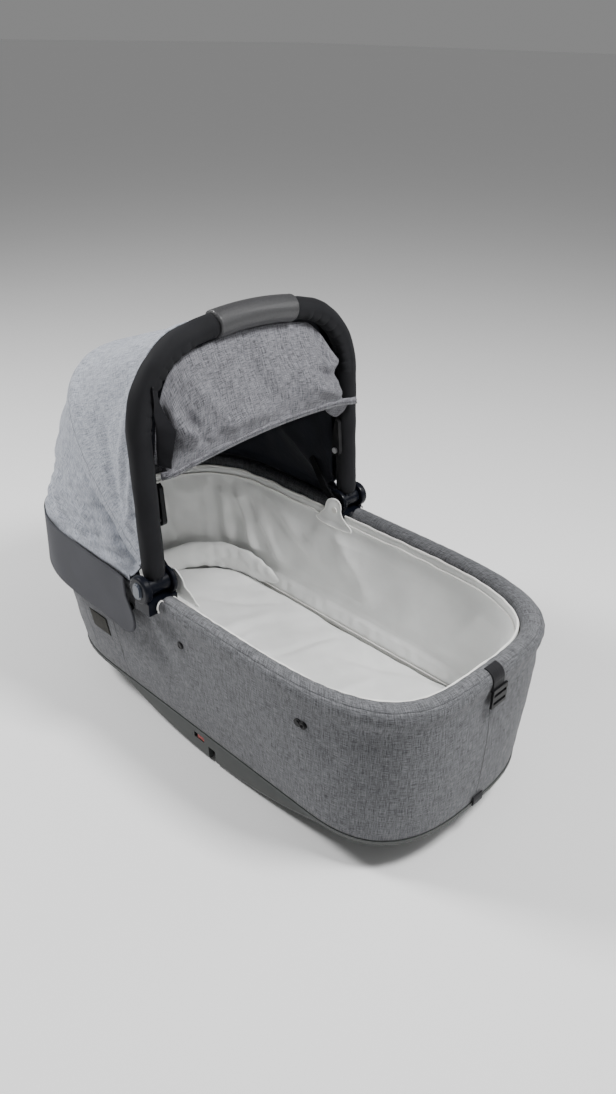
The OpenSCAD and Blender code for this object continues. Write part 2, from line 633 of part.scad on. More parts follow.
// ---- hood ----
bow_strip = 3;
bow_depth = 14;
bow_eye = 11;
bow_x = 176;
bow_power = 3.4;
bow_steps = 40;
function bow_curve(inset, power, half, reach) = [for (i = [0 : bow_steps]) let (t = 10 + 160 * i / bow_steps)
    [(half - inset) * bulge(cos(t), power), (reach - inset) * bulge(sin(t), power)]];
module bow_frame() {
    translate([0, hinge_y, hinge_z]) rotate([-bow_angle, 0, 0]) rotate([90, 0, 0])
        translate([0, 0, -bow_depth / 2]) children();
}
module rear_bow() {
    outer = bow_curve(0, bow_power, bow_half_width, bow_length);
    inner = bow_curve(bow_strip, bow_power, bow_half_width, bow_length);
    n = bow_steps;
    color("#3a3c40") difference() {
        union() {
            bow_frame() linear_extrude(bow_depth) polygon(concat(
                [[bow_x + bow_strip / 2, 8], [bow_x + bow_strip / 2, 30]], outer,
                [[-bow_x - bow_strip / 2, 30], [-bow_x - bow_strip / 2, 8],
                    [-bow_x + bow_strip / 2, 8], [-bow_x + bow_strip / 2, 31]],
                [for (i = [n : -1 : 0]) inner[i]],
                [[bow_x - bow_strip / 2, 31], [bow_x - bow_strip / 2, 8]]));
            for (s = [-1, 1]) along_x(s * bow_x - bow_strip / 2 - 0.5, hinge_y, hinge_z)
                cylinder(h = bow_strip + 1, r = bow_eye, $fn = 64);
        }
        along_x(-300, hinge_y, hinge_z) cylinder(h = 600, r = pin_radius + running_gap, $fn = 64);
    }
}
arch_power = 4.6;
hood_steps = 36;
cover_half = bow_half_width + 5;
cover_reach = bow_length + 4;
edge_z = hinge_z + 3;
// Points across the hood at turn t: behind the handle, over the rear bow and along the band.
function front_point(t, d) = let (x = (leg_x + 2 - d) * bulge(cos(t), arch_power),
        h = (arch_height + 6 - d) * bulge(sin(t), arch_power), k = max(h, 16))
    [x, hinge_y + (grip_radius + 0.2) * cos(lean) + k * sin(lean), hinge_z + k * cos(lean)];
function over_bow(t, d, back) = let (x = (cover_half - d) * bulge(cos(t), bow_power),
        h = (cover_reach - d) * bulge(sin(t), bow_power), k = max(h, 12))
    [x, hinge_y + k * sin(bow_angle) + back * cos(bow_angle),
        hinge_z + k * cos(bow_angle) + max(0, 10 - k / 8) - back * sin(bow_angle)];
side_share = 0.3;
// Along the top of the band: up the side first, then round the head end.
function band_edge(t, d) = let (u = min(t, 180 - t) / 90, side = t < 90 ? 1 : -1,
        out = roll_radius + band_gap + 1 - d, turn = 90 * (u - side_share) / (1 - side_share),
        y_side = mix(hinge_y + 34, head_bend(rim_height), u / side_share),
        q = u < side_share ? side_point(1, y_side, rim_height, out) : head_point(turn, rim_height, out))
    [side * q[0], q[1], edge_z + gap];
hood_turns = [for (i = [0 : hood_steps]) 4 + 172 * i / hood_steps];
function across(a, b, parts) = [for (k = [0 : parts]) a + (b - a) * k / parts];
module hood_front() {
    color("#8d8f94") shell(
        [for (t = hood_turns) across(front_point(t, 0), over_bow(t, 0, -9), 4)],
        [for (t = hood_turns) across(front_point(t, hood_cloth), over_bow(t, hood_cloth, -9), 4)]);
}
module hood_back() {
    color("#8d8f94") shell(
        [for (t = hood_turns) across(over_bow(t, 0, 9), band_edge(t, 0), 4)],
        [for (t = hood_turns) across(over_bow(t, hood_cloth, 9), band_edge(t, hood_cloth), 4)]);
}
module hood_lining() {
    color("#17181b") shell(
        [for (t = hood_turns) across(front_point(t, 14), over_bow(t, 14, -9), 4)],
        [for (t = hood_turns) across(front_point(t, 15), over_bow(t, 15, -9), 4)]);
}
module hood_band() {
    top = edge_z;
    out = roll_radius + band_gap;
    low = top - band_height;
    start = hinge_y + 40;
    part = concat([[2, start]], head_turns, [[3, start]]);
    color("#3b3d41") carried(part, [[out + 3.5, low], [out + 2.5, top - 20], [out + 1.6, top],
        [out, top], [out + 0.9, top - 20], [out + 1.9, low]], false);
}

stud_height = rim_height - 39;
module band_stud() {
    near = wall_offset(stud_height) + gap + 0.5;
    far = roll_radius + band_gap + 0.9 - gap;
    for (y = [hinge_y + 57, hinge_y + 142]) for (m = [0, 1]) mirror([m, 0, 0])
        along_x(half_width(stud_height) + near, y, stud_height) cylinder(h = far - near, r = 6, $fn = 40);
    translate([0, head_reach(stud_height) + near, stud_height]) rotate([-90, 0, 0])
        cylinder(h = far - near, r = 6, $fn = 40);
}
module band_studs() { color("#1b1c1e") band_stud(); }

// ---- visor ----
visor_seat = 0.9;
visor_z = arch_top - grip_radius - visor_seat;
visor_power = 4;
visor_half = leg_x - sleeve_radius - 4;
visor_forward = 24;
brim_height = 10;
function visor_top(x) = let (u = abs(x) / (leg_x - sleeve_radius - 3))
    min(hinge_z + (visor_z - hinge_z) * pow(max(0, 1 - pow(u, visor_power)), 1 / visor_power),
        visor_z - x * x / (2 * top_radius));
function visor_low(x) = visor_z - visor_drop + 14 * (1 - pow(x / visor_half, 2));
function visor_y(z) = hinge_y - visor_forward * (visor_z - z) / visor_drop;
visor_columns = [for (i = [0 : 28]) visor_half * (i / 14 - 1)];
function visor_heights(x) = let (low = visor_low(x) + brim_height / 2 + gap)
    across(low, max(visor_top(x), low + 12), 4);
module visor_panel() {
    color("#7d7f84") leaning() lofted([for (x = visor_columns) let (hs = visor_heights(x)) concat(
        [for (z = hs) [x, visor_y(z) + hood_cloth, z]],
        [for (i = [4 : -1 : 0]) [x, visor_y(hs[i]), hs[i]]])], false);
}
module visor_brim() {
    color("#6d6f73") leaning() lofted([for (x = visor_columns) let (z = visor_low(x), y = visor_y(z))
        [for (k = [0 : 9]) [x, y + 1 + 3 * cos(-36 * k), z + brim_height / 2 * sin(-36 * k)]]], false);
}

// ---- mattress ----
mattress_bottom = board_top + gap;
mattress_top = mattress_bottom + mattress_thickness;
module mattress() {
    color("#f1f0ec") {
        translate([0, 0, mattress_bottom]) linear_extrude(5) outline(seam_height, -mattress_inset - 4);
        translate([0, 0, mattress_bottom + 5]) linear_extrude(mattress_thickness - 12)
            outline(seam_height, -mattress_inset);
        translate([0, 0, mattress_top - 7]) linear_extrude(7) outline(seam_height, -mattress_inset - 5);
    }
}
module head_bolster() {
    low = mattress_top + gap;
    out = -mattress_inset - 5;
    color("#efede6") carried([for (i = [0 : 24]) [0, 30 + 120 * i / 24]],
        [[out, low + 8], [out + 2, low + bolster_height * 0.7], [out - 4, low + bolster_height],
            [out - bolster_depth + 6, low + bolster_height],
            [out - bolster_depth, low + bolster_height * 0.6],
            [out - bolster_depth, low + 6], [out - bolster_depth + 4, low], [out - 5, low]], false);
}

base_tray();
rubber_feet();
floor_board();
rim_tube();
rim_padding();
rim_cover();
side_board_left();
side_board_right();
head_board();
foot_board();
side_cover();
liner();
liner_binding();
liner_tabs();
tab_snaps();
side_snaps();
foot_strap();
strap_slider();
foot_tab();
side_label();
hood_band();
band_studs();
hinge_base_left();
hinge_base_right();
hinge_pin_left();
hinge_pin_right();
lock_button_left();
lock_button_right();
clutch_disc_left();
clutch_disc_right();
lock_spring_left();
lock_spring_right();
latch_housing_left();
latch_housing_right();
latch_left();
latch_right();
latch_flag_left();
latch_flag_right();
latch_spring_left();
latch_spring_right();
handle_tube();
handle_hub_left();
handle_hub_right();
handle_sleeve_left();
handle_sleeve_right();
grip_cover();
lever_stud_left();
lever_stud_right();
hood_lever_left();
hood_lever_right();
rear_bow();
hood_front();
hood_back();
hood_lining();
visor_panel();
visor_brim();
mattress();
head_bolster();
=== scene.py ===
# %% [markdown]
# # A padded pram carrycot, dressed in cloth
# The hard pieces of the cot come ready made: the base, the tubes, the hinges, the latches.
# This notebook sews the rest: the melange cover, the white liner, the mattress, the hood and
# its visor, the padded handle. Every soft piece is a surface worked out with numpy, as a grid of
# points, so its shape can be read as a formula. All lengths are in metres, X runs across the
# cot, Y runs towards the head end and Z points up.

# %% Load the fixed frame
import json
import math

import bpy
import numpy as np
from mathutils import Matrix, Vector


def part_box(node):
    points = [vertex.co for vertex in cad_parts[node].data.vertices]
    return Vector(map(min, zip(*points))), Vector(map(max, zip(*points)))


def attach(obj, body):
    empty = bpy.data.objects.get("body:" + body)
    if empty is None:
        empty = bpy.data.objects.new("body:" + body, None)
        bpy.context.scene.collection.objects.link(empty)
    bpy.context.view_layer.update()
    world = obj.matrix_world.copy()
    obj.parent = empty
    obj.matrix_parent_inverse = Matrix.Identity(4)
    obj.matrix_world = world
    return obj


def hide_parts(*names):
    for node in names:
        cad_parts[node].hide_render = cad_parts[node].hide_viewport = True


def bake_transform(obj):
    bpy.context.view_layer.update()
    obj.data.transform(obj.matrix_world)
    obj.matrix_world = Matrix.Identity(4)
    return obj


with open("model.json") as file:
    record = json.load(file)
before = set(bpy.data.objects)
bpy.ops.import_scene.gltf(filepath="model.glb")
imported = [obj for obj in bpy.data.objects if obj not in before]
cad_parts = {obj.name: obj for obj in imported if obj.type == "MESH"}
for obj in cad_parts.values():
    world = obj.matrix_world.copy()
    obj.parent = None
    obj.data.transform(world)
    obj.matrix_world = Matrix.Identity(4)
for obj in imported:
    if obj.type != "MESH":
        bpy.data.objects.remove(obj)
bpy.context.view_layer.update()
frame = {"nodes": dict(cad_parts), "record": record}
nodes = frame["nodes"]

# %% [markdown]
# ## The camera
# The camera is placed by the direction it looks back from: an azimuth round the cot, an
# elevation above the ground, and a slight roll. Three unit vectors make its rotation: right, up
# and back.

# %% Camera
AZIMUTH, ELEVATION, ROLL = np.radians([-45.82, 29.75, 1.38])


def camera_axes(azimuth, elevation, roll):
    """Right, up and back of a camera at an azimuth and an elevation, turned about its view."""
    back = np.array([math.sin(azimuth) * math.cos(elevation),
                     -math.cos(azimuth) * math.cos(elevation), math.sin(elevation)])
    right = np.array([math.cos(azimuth), math.sin(azimuth), 0.0])
    up = np.cross(back, right)
    return (right * math.cos(roll) + up * math.sin(roll),
            up * math.cos(roll) - right * math.sin(roll), back)


axes = np.eye(4)
axes[:3, :3] = np.stack(camera_axes(AZIMUTH, ELEVATION, ROLL), 1)
axes[:3, 3] = [-0.85357, -0.89616, 1.0115]
lens = bpy.data.cameras.new("camera")
lens.sensor_width = 36.0
lens.lens = 29.85
camera = bpy.data.objects.new("camera", lens)
camera.matrix_world = Matrix(axes.tolist())
bpy.context.scene.collection.objects.link(camera)
bpy.context.scene.camera = camera
print("camera", np.round(axes[:3, 3], 2), "lens", lens.lens)

# %% [markdown]
# ## A little grammar for shaders
# Node trees are easier to read as arithmetic. `Number` wraps a socket that carries a number and
# overloads the usual operators, so `1 - mask` adds a Math node by itself. `Finish` makes one
# material; its `node` method adds any other node from its type, its settings and its inputs.

# %% Shader helpers
class Number:
    """A number socket that can be used in sums."""

    def __init__(self, finish, socket):
        self.finish = finish
        self.socket = socket

    def math(self, operation, *others):
        """A Math node of this number and the others."""
        values = dict(enumerate([self, *others]))
        return self.finish.node("ShaderNodeMath", {"operation": operation}, values)

    def __add__(self, other):
        return self.math("ADD", other)

    def __sub__(self, other):
        return self.math("SUBTRACT", other)

    def __rsub__(self, other):
        return self.finish.node("ShaderNodeMath", {"operation": "SUBTRACT"}, {0: other, 1: self})

    def __mul__(self, other):
        return self.math("MULTIPLY", other)

    __radd__ = __add__
    __rmul__ = __mul__

    def between(self, low, high):
        """0 below low, 1 above high, smooth in between; low may be the larger one."""
        settings = {"interpolation_type": "SMOOTHSTEP"}
        return self.finish.node("ShaderNodeMapRange", settings,
                                {"Value": self, "From Min": low, "From Max": high})


class Finish:
    """One material: a Principled shader and the nodes that feed it."""

    def __init__(self, name, roughness, **constants):
        self.material = bpy.data.materials.new(name)
        self.material.use_nodes = True
        self.tree = self.material.node_tree
        self.shader = self.tree.nodes["Principled BSDF"]
        self.feed("Roughness", roughness)
        for key, value in constants.items():
            self.feed(key.replace("_", " ").title().replace("Ior", "IOR"), value)

    def join(self, value, socket):
        """Links a number to a socket, or writes a plain value on it."""
        if isinstance(value, Number):
            self.tree.links.new(value.socket, socket)
        else:
            socket.default_value = value

    def feed(self, name, value):
        """Sets an input of the Principled shader."""
        self.join(value, self.shader.inputs[name])

    def node(self, kind, settings=None, values=None, output=0):
        """Adds a node from its type, its settings and its inputs, and gives one of its outputs."""
        made = self.tree.nodes.new(kind)
        for key, value in (settings or {}).items():
            setattr(made, key, value)
        for key, value in (values or {}).items():
            self.join(value, made.inputs[key])
        return Number(self, made.outputs[output])

    def place(self, scale, source="UV"):
        """Coordinates stretched by a scale; UV maps are in metres along the cloth."""
        if source == "UV":
            point = self.node("ShaderNodeUVMap", {"uv_map": "UVMap"})
        else:
            point = self.node("ShaderNodeTexCoord", output=source)
        return self.node("ShaderNodeMapping", {}, {"Vector": point, "Scale": scale})

    def noise(self, scale, source="UV", detail=2.0, roughness=0.5):
        """Noise stretched by a scale: flat on cloth, solid on hard pieces."""
        settings = {"noise_dimensions": "2D" if source == "UV" else "3D"}
        return self.node("ShaderNodeTexNoise", settings, {
            "Vector": self.place(scale, source), "Scale": 1.0, "Detail": detail,
            "Roughness": roughness})

    def blend(self, factor, dark, light):
        """Colour between two colours; each is a colour or the result of another blend."""
        keys = {0: factor, 6: (*dark, 1) if isinstance(dark, tuple) else dark,
                7: (*light, 1) if isinstance(light, tuple) else light}
        return self.node("ShaderNodeMix", {"data_type": "RGBA"}, keys, output=2)

    def bump(self, height, distance, strength=1.0, after=None):
        """Normal of a height; after is a bump below it."""
        values = {"Height": height, "Distance": distance, "Strength": strength}
        if after is not None:
            values["Normal"] = after
        return self.node("ShaderNodeBump", {}, values)


# %% [markdown]
# ## Cloth finishes
# The cover is a melange: each yarn is spun from dark and light fibres, so the cloth shows short
# streaks along warp and weft. Two stretched noises, one along each direction, make the streaks,
# and a third, much larger one makes the slow change in tone that any piece-dyed cloth has.
# Where a seam crosses a panel, the shader darkens and sinks a thin line at its place on the
# cloth.

# %% Woven melange
def woven(name, dark, light, streak=1.0, contrast=4.2, sheen=0.25, seams=(), weave=0.00025,
          stitch=(0.02, 0.02, 0.022)):
    """Melange cloth: tone = warp streaks + weft streaks.

    Each seam is (direction, place, from, to) in metres of UV.
    """
    made = Finish(name, 0.86, sheen_weight=sheen, sheen_roughness=0.45, specular_ior_level=0.25)
    warp = made.noise((1150 / streak, 75 / streak, 1), detail=3)
    weft = made.noise((75 / streak, 1150 / streak, 1), detail=3)
    slub = made.noise((420 / streak, 26 / streak, 1), detail=1)
    slow = made.noise((9, 9, 1), detail=2)
    speck = made.noise((560 / streak, 560 / streak, 1), detail=3, roughness=0.7)
    tone = warp * 0.34 + weft * 0.36 + slub * 0.12 + speck * 0.18 - 0.5
    tone = tone * contrast + 0.5 + (slow - 0.5) * 0.16
    color = made.blend(tone, dark, light)
    height = warp * 0.5 + weft * 0.5
    point = made.place((1, 1, 1))
    split = made.node("ShaderNodeSeparateXYZ", {}, {0: point})
    along = {"u": split, "v": Number(made, split.socket.node.outputs[1])}
    lines = None
    for direction, place, start, stop in seams:
        other = "v" if direction == "u" else "u"
        off = (along[direction] - place).math("ABSOLUTE")
        line = off.between(0.0011, 0.0004)
        line = line * along[other].between(start - 0.002, start) * along[other].between(
            stop + 0.002, stop)
        lines = line if lines is None else lines.math("MAXIMUM", line)
    if lines is not None:
        color = made.blend(lines * 0.8, color, stitch)
        height = height - lines * 3.0
    made.feed("Base Color", color)
    made.feed("Normal", made.bump(height, weave, 0.8))
    return made.material


# %% [markdown]
# Plain cloths are simpler: one colour that drifts a little, a fine weave in the bump, and the
# sheen that loose fibres give. The same recipe serves the white liner, the dark band, the soft
# handle sleeve and the black lining, with other numbers.

# %% Plain cloth, leather and plastics
def plain_cloth(name, color, drift=0.08, sheen=0.3, weave=0.00015, pitch=900, roughness=0.85,
                coarse=0.0):
    """Plain cloth: colour x (1 + drift x slow noise), with crossed threads and a crumple in the bump."""
    made = Finish(name, roughness, sheen_weight=sheen, sheen_roughness=0.5,
                  specular_ior_level=0.12)
    slow = made.noise((14, 14, 1), detail=3)
    dark = tuple(c * (1 - drift) for c in color)
    light = tuple(min(1.0, c * (1 + drift)) for c in color)
    made.feed("Base Color", made.blend(slow.between(0.3, 0.7), dark, light))
    threads = made.noise((pitch, pitch / 8, 1)) + made.noise((pitch / 8, pitch, 1))
    normal = made.bump(threads, weave, 0.7)
    if coarse:
        normal = made.bump(made.noise((60, 60, 1), detail=3), coarse, 0.6, after=normal)
    made.feed("Normal", normal)
    return made.material


def grained(name, color, roughness, grain=700.0, depth=0.00008, coat=0.0, worn=0.04, metal=0.0):
    """Moulded plastic, rubber or metal: fine grain in the bump, drifting roughness, rubbed places."""
    made = Finish(name, 0.5, coat_weight=coat, metallic=metal)
    fine = made.noise((grain, grain, grain), "Object", detail=2)
    patches = made.noise((22, 22, 22), "Object", detail=4)
    made.feed("Roughness", roughness + (patches - 0.5) * 0.25)
    light = tuple(min(1.0, c + worn) for c in color)
    made.feed("Base Color", made.blend(patches.between(0.45, 0.8), color, light))
    made.feed("Normal", made.bump(fine, depth, 0.6))
    return made.material


def leather(name, color):
    """Leather: cells of a Voronoi texture make the grain, darker in the creases between them."""
    made = Finish(name, 0.42, coat_weight=0.25, specular_ior_level=0.6)
    cells = made.node("ShaderNodeTexVoronoi", {"feature": "DISTANCE_TO_EDGE"},
                      {"Vector": made.place((620, 620, 620), "Object"), "Scale": 1.0})
    crease = cells.between(0.0, 0.22)
    slow = made.noise((30, 30, 30), "Object", detail=3)
    dark = tuple(c * 0.55 for c in color)
    made.feed("Base Color", made.blend(crease * 0.7 + slow * 0.3, dark, color))
    made.feed("Roughness", 0.5 - crease * 0.12)
    made.feed("Normal", made.bump(crease, 0.00022, 0.7))
    return made.material


white_cloth = plain_cloth("white_cotton", (0.87, 0.875, 0.865), 0.03, 0.2, 0.00012, 800, 0.88, 0.0007)
piping_cloth = plain_cloth("white_piping", (0.86, 0.85, 0.82), 0.04, 0.15, 0.0001, 900, 0.6)
band_cloth = plain_cloth("dark_band", (0.060, 0.061, 0.069), 0.05, 0.03, 0.00008, 1300, 0.7)
sleeve_cloth = plain_cloth("padded_sleeve", (0.013, 0.0132, 0.015), 0.10, 0.02, 0.00015, 1100, 0.72)
lining_cloth = plain_cloth("black_lining", (0.010, 0.011, 0.016), 0.2, 0.08, 0.0001, 900, 0.8, 0.001)
# A near-black cloth for the sheet at the visor's left edge: painted shadow, standing in for the shade in
# the hollow behind the panel.
shadow_sheet_cloth = plain_cloth("painted_shadow_sheet", (0.012, 0.012, 0.014), 0.15, 0.02, 0.0001, 900, 0.85, 0.0008)
webbing = plain_cloth("black_webbing", (0.013, 0.013, 0.015), 0.15, 0.1, 0.0004, 420, 0.75)
grip_leather = leather("grey_leather", (0.040, 0.040, 0.043))
# The visor, its brim, the rim strip and the brim piping use darker copies of the hood's melange: painted
# shade for faces that catch less light, since the cloth itself is the same.
shaded_visor_melange = woven("shaded_visor_melange", (0.060, 0.060, 0.067), (0.255, 0.255, 0.278), sheen=0.03,
                      contrast=5.2)
shaded_rim_melange = woven("shaded_rim_melange", (0.040, 0.041, 0.044), (0.190, 0.193, 0.205), sheen=0.06,
                    seams=[("u", 0.0, 0.0, 0.03)])
print("cloth finishes:", len(bpy.data.materials))

# %% [markdown]
# ## Finishes of the hard pieces
# Each ready-made node keeps its mesh and only gets a finish: a grained dark grey-green plastic
# for the rocker base, polished black for the hinges, satin for the buttons, turned steel for
# pins, and so on. These patterns read object coordinates, because the nodes have no UV map.

# %% Dress the ready-made nodes
base_plastic = grained("base_plastic", (0.034, 0.038, 0.036), 0.5, 900, 0.00006, 0.0, 0.02)
gloss_black = grained("polished_black", (0.004, 0.005, 0.009), 0.30, 300, 0.00001, 0.0, 0.002)
button_grey = grained("satin_button", (0.05, 0.06, 0.08), 0.22, 400, 0.00002, 0.3, 0.01)
black_plastic = grained("black_plastic", (0.007, 0.007, 0.008), 0.38, 800, 0.00005, 0.0, 0.01)
red_plastic = grained("red_marker", (0.30, 0.020, 0.016), 0.32, 600, 0.00004, 0.2)
white_plastic = grained("white_snap", (0.80, 0.79, 0.75), 0.3, 500, 0.00003, 0.2, 0.0)
rubber = grained("foot_rubber", (0.020, 0.020, 0.020), 0.75, 500, 0.0001)
steel = grained("turned_steel", (0.58, 0.58, 0.60), 0.3, 900, 0.00003, 0.0, 0.05, 1.0)
dark_metal = grained("powder_coat", (0.045, 0.045, 0.05), 0.45, 900, 0.00006, 0.0, 0.02, 0.4)
board_finish = grained("stiff_board", (0.55, 0.50, 0.42), 0.8, 300, 0.0001)
matte_black = grained("matte_black", (0.003, 0.003, 0.004), 0.85, 500, 0.00004, 0.0, 0.001)
foam_finish = grained("foam", (0.06, 0.06, 0.062), 0.9, 350, 0.0003)

DIM_SHINE = 0.16
for finish in (gloss_black, matte_black, black_plastic):
    shader = finish.node_tree.nodes["Principled BSDF"]
    shader.inputs["Specular IOR Level"].default_value = DIM_SHINE


def both(stem):
    """Names of the left and the right piece."""
    return [stem + "_left", stem + "_right"]


dressing = {
    base_plastic: ["base_tray"],
    rubber: ["rubber_feet"],
    board_finish: ["floor_board", "head_board", "foot_board", *both("side_board")],
    foam_finish: ["rim_padding"],
    steel: ["rim_tube", *both("hinge_pin"), *both("lever_stud"), *both("lock_spring"),
            *both("latch_spring"), *both("clutch_disc")],
    white_plastic: ["tab_snaps"],
    black_plastic: ["side_snaps", "strap_slider", "band_studs", *both("latch"), *both("latch_housing"),
                    *both("hood_lever")],
    gloss_black: [*both("hinge_base"), *both("handle_hub")],
    button_grey: [*both("lock_button")],
    red_plastic: [*both("latch_flag")],
    dark_metal: ["handle_tube"],
    matte_black: ["rear_bow"],
}
for finish, names in dressing.items():
    for name in names:
        nodes[name].data.materials.clear()
        nodes[name].data.materials.append(finish)
print("dressed", sum(map(len, dressing.values())), "nodes")

# %% [markdown]
# ## Grids, tubes and curves
# Three helpers build nearly everything. `surface` turns a grid of points into a mesh and lays
# out its UV map by the length run along each direction, so one metre of UV is one metre of
# cloth. `tube` sweeps a round section along a path. `smooth` draws a curve through a few
# chosen points.

# %% Mesh helpers
def smooth(points, count):
    """Curve through the points, as count points at equal distances.

    Between two of them it is a cubic whose end slopes are half the chord of the neighbours.
    """
    p = np.asarray(points, float)
    slope = np.gradient(p, axis=0)
    t = np.linspace(0, 1, 24, endpoint=False)[None, :, None]
    a, b, ma, mb = p[:-1, None], p[1:, None], slope[:-1, None], slope[1:, None]
    dense = ((2 * t**3 - 3 * t**2 + 1) * a + (t**3 - 2 * t**2 + t) * ma
             + (3 * t**2 - 2 * t**3) * b + (t**3 - t**2) * mb).reshape(-1, p.shape[1])
    return evenly(np.vstack([dense, p[-1:]]), count)


def run_along(path):
    """Length run up to each point of a path."""
    steps = np.linalg.norm(np.diff(path, axis=0), axis=-1)
    return np.concatenate([np.zeros((1, *steps.shape[1:])), np.cumsum(steps, axis=0)])


def evenly(path, count):
    """The same path with count points at equal distances."""
    run = run_along(path)
    at = np.linspace(0, run[-1], count)
    return np.stack([np.interp(at, run, path[:, k]) for k in range(path.shape[1])], 1)


def surface(name, grid, finish, around=False, across=False, flip=False, shade=True):
    """Mesh of a grid of points (rows, columns, 3).

    around and across say that the rows or the columns close on themselves.
    """
    rows, columns = grid.shape[:2]
    i, j = np.meshgrid(np.arange(rows - (not around)), np.arange(columns - (not across)),
                       indexing="ij")
    ci = np.stack([i, i + 1, i + 1, i], -1).reshape(-1, 4)
    cj = np.stack([j, j, j + 1, j + 1], -1).reshape(-1, 4)
    if flip:
        ci, cj = ci[:, ::-1], cj[:, ::-1]
    quads = (ci % rows) * columns + cj % columns
    mesh = bpy.data.meshes.new(name)
    mesh.vertices.add(rows * columns)
    mesh.vertices.foreach_set("co", grid.astype(np.float32).ravel())
    mesh.loops.add(quads.size)
    mesh.loops.foreach_set("vertex_index", quads.ravel().astype(np.int32))
    mesh.polygons.add(len(quads))
    mesh.polygons.foreach_set("loop_start", np.arange(0, quads.size, 4, dtype=np.int32))
    mesh.update(calc_edges=True)
    wrapped = np.concatenate([grid, grid[:1]], 0) if around else grid
    u = run_along(wrapped).mean(1)
    wrapped = np.concatenate([grid, grid[:, :1]], 1) if across else grid
    v = run_along(np.swapaxes(wrapped, 0, 1)).mean(1)
    layer = mesh.uv_layers.new(name="UVMap")
    layer.data.foreach_set("uv", np.stack([u[ci], v[cj]], -1).ravel().astype(np.float32))
    if shade:
        mesh.polygons.foreach_set("use_smooth", np.ones(len(quads), bool))
    mesh.materials.append(finish)
    made = bpy.data.objects.new(name, mesh)
    bpy.context.scene.collection.objects.link(made)
    return made


def grid_normals(grid, around=False):
    """Unit normals of a grid: the cross product of its two directions."""
    pad = np.concatenate([grid[-1:], grid, grid[:1]], 0) if around else grid
    a = np.gradient(pad, axis=0)
    a = a[1:-1] if around else a
    b = np.gradient(grid, axis=1)
    n = np.cross(a, b)
    return n / np.maximum(np.linalg.norm(n, axis=-1, keepdims=True), 1e-12)


def facing(normals, place, direction):
    """The normals, turned over if the one at a place of the grid looks against a direction."""
    return normals if normals[place] @ np.array(direction, float) >= 0 else -normals


def tube_grid(path, radius, sides, reference, closed=False, squeeze=1.0):
    """Rings of points round a path, each across the path.

    squeeze scales a ring along the reference direction.
    """
    tangent = np.gradient(np.concatenate([path[-1:], path, path[:1]]), axis=0)[1:-1] if closed \
        else np.gradient(path, axis=0)
    tangent /= np.linalg.norm(tangent, axis=1, keepdims=True)
    side = np.cross(tangent, reference)
    side /= np.linalg.norm(side, axis=1, keepdims=True)
    other = np.cross(side, tangent)
    a = np.linspace(0, 2 * np.pi, sides, endpoint=False)
    r = np.broadcast_to(np.asarray(radius, float), (len(path), sides)) if np.ndim(radius) != 1 \
        else np.repeat(np.asarray(radius)[:, None], sides, 1)
    return (path[:, None] + side[:, None] * (r * np.cos(a))[..., None]
            + other[:, None] * (r * np.sin(a) * squeeze)[..., None])


def tube(name, path, radius, sides, reference, finish, closed=False, squeeze=1.0):
    """Round bar along a path with closed, rounded ends."""
    grid = tube_grid(path, radius, sides, reference, closed, squeeze)
    if not closed:
        ends = [path[0], path[-1]]
        caps = [grid[0], grid[-1]]
        start = [ends[0] + (caps[0] - ends[0]) * f for f in (0.02, 0.75)]
        stop = [ends[1] + (caps[1] - ends[1]) * f for f in (0.75, 0.02)]
        grid = np.concatenate([np.stack(start), grid, np.stack(stop)])
    return surface(name, grid, finish, around=closed, across=True)


def ripples(points, size, wavelength, seed, waves=7):
    """Soft unevenness of cloth: a sum of sine waves in seeded directions."""
    rng = np.random.default_rng(seed)
    k = rng.normal(size=(waves, 3))
    k *= (2 * np.pi / wavelength / np.linalg.norm(k, axis=1) / rng.uniform(0.6, 1.5, waves))[:, None]
    return size * np.sin(points @ k.T + rng.uniform(0, 6.28, waves)).sum(-1) / math.sqrt(waves)


def fold(points, start, stop, width, height):
    """A ridge along a line: height x exp(-(distance / width) squared), fading at both ends."""
    start, stop = np.asarray(start, float), np.asarray(stop, float)
    line = stop - start
    t = ((points - start) @ line) / (line @ line)
    near = start + np.clip(t, 0, 1)[..., None] * line
    d = np.linalg.norm(points - near, axis=-1)
    fade = np.clip(np.sin(np.pi * np.clip(t * 0.9 + 0.05, 0, 1)), 0, 1) ** 0.6
    return height * np.exp(-((d / width) ** 2)) * fade


def thicken(piece, depth, offset=-1.0, lined=False):
    """Solidify: gives a sheet its thickness; a lined sheet is black on its inner side."""
    skin = piece.modifiers.new("thickness", "SOLIDIFY")
    skin.thickness = depth
    skin.offset = offset
    if lined:
        piece.data.materials.append(lining_cloth)
        skin.material_offset = 1


# %% [markdown]
# ## The outline of the tub
# Seen from above, the tub has straight sides and two rounded ends. Each end is a superellipse: a
# circle whose cosine and sine are raised to a power, which makes its corners squarer. Width,
# reach and squareness change in a straight line with height. The ring is then walked at equal
# distances, so the weave isn't stretched.

# %% Outline
SEAM, RIM = 0.059, 0.279
roll = 0.015
rim_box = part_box("rim_cover")
half_top, foot_top, head_top = rim_box[1].x - roll, -rim_box[0].y - roll, rim_box[1].y - roll
HINGE_Y, HINGE_Z = [(a + b) / 2 for a, b in zip(*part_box("hinge_pin_left"))][1:]


def level(low, high, z):
    """Value at a height, on the straight line from the seam to the rim."""
    return low + (high - low) * (z - SEAM) / (RIM - SEAM)


def bulge(s, power):
    """Sine or cosine of a superellipse: its size is raised to 2 / power and keeps its sign."""
    return np.sign(s) * np.abs(s) ** (2 / power)


quarter = np.concatenate([[0.0], np.geomspace(1e-7, 0.02, 160), np.linspace(0.021, 0.5, 260)])
half_turn = np.pi * np.concatenate([quarter, 1 - quarter[-2::-1]])


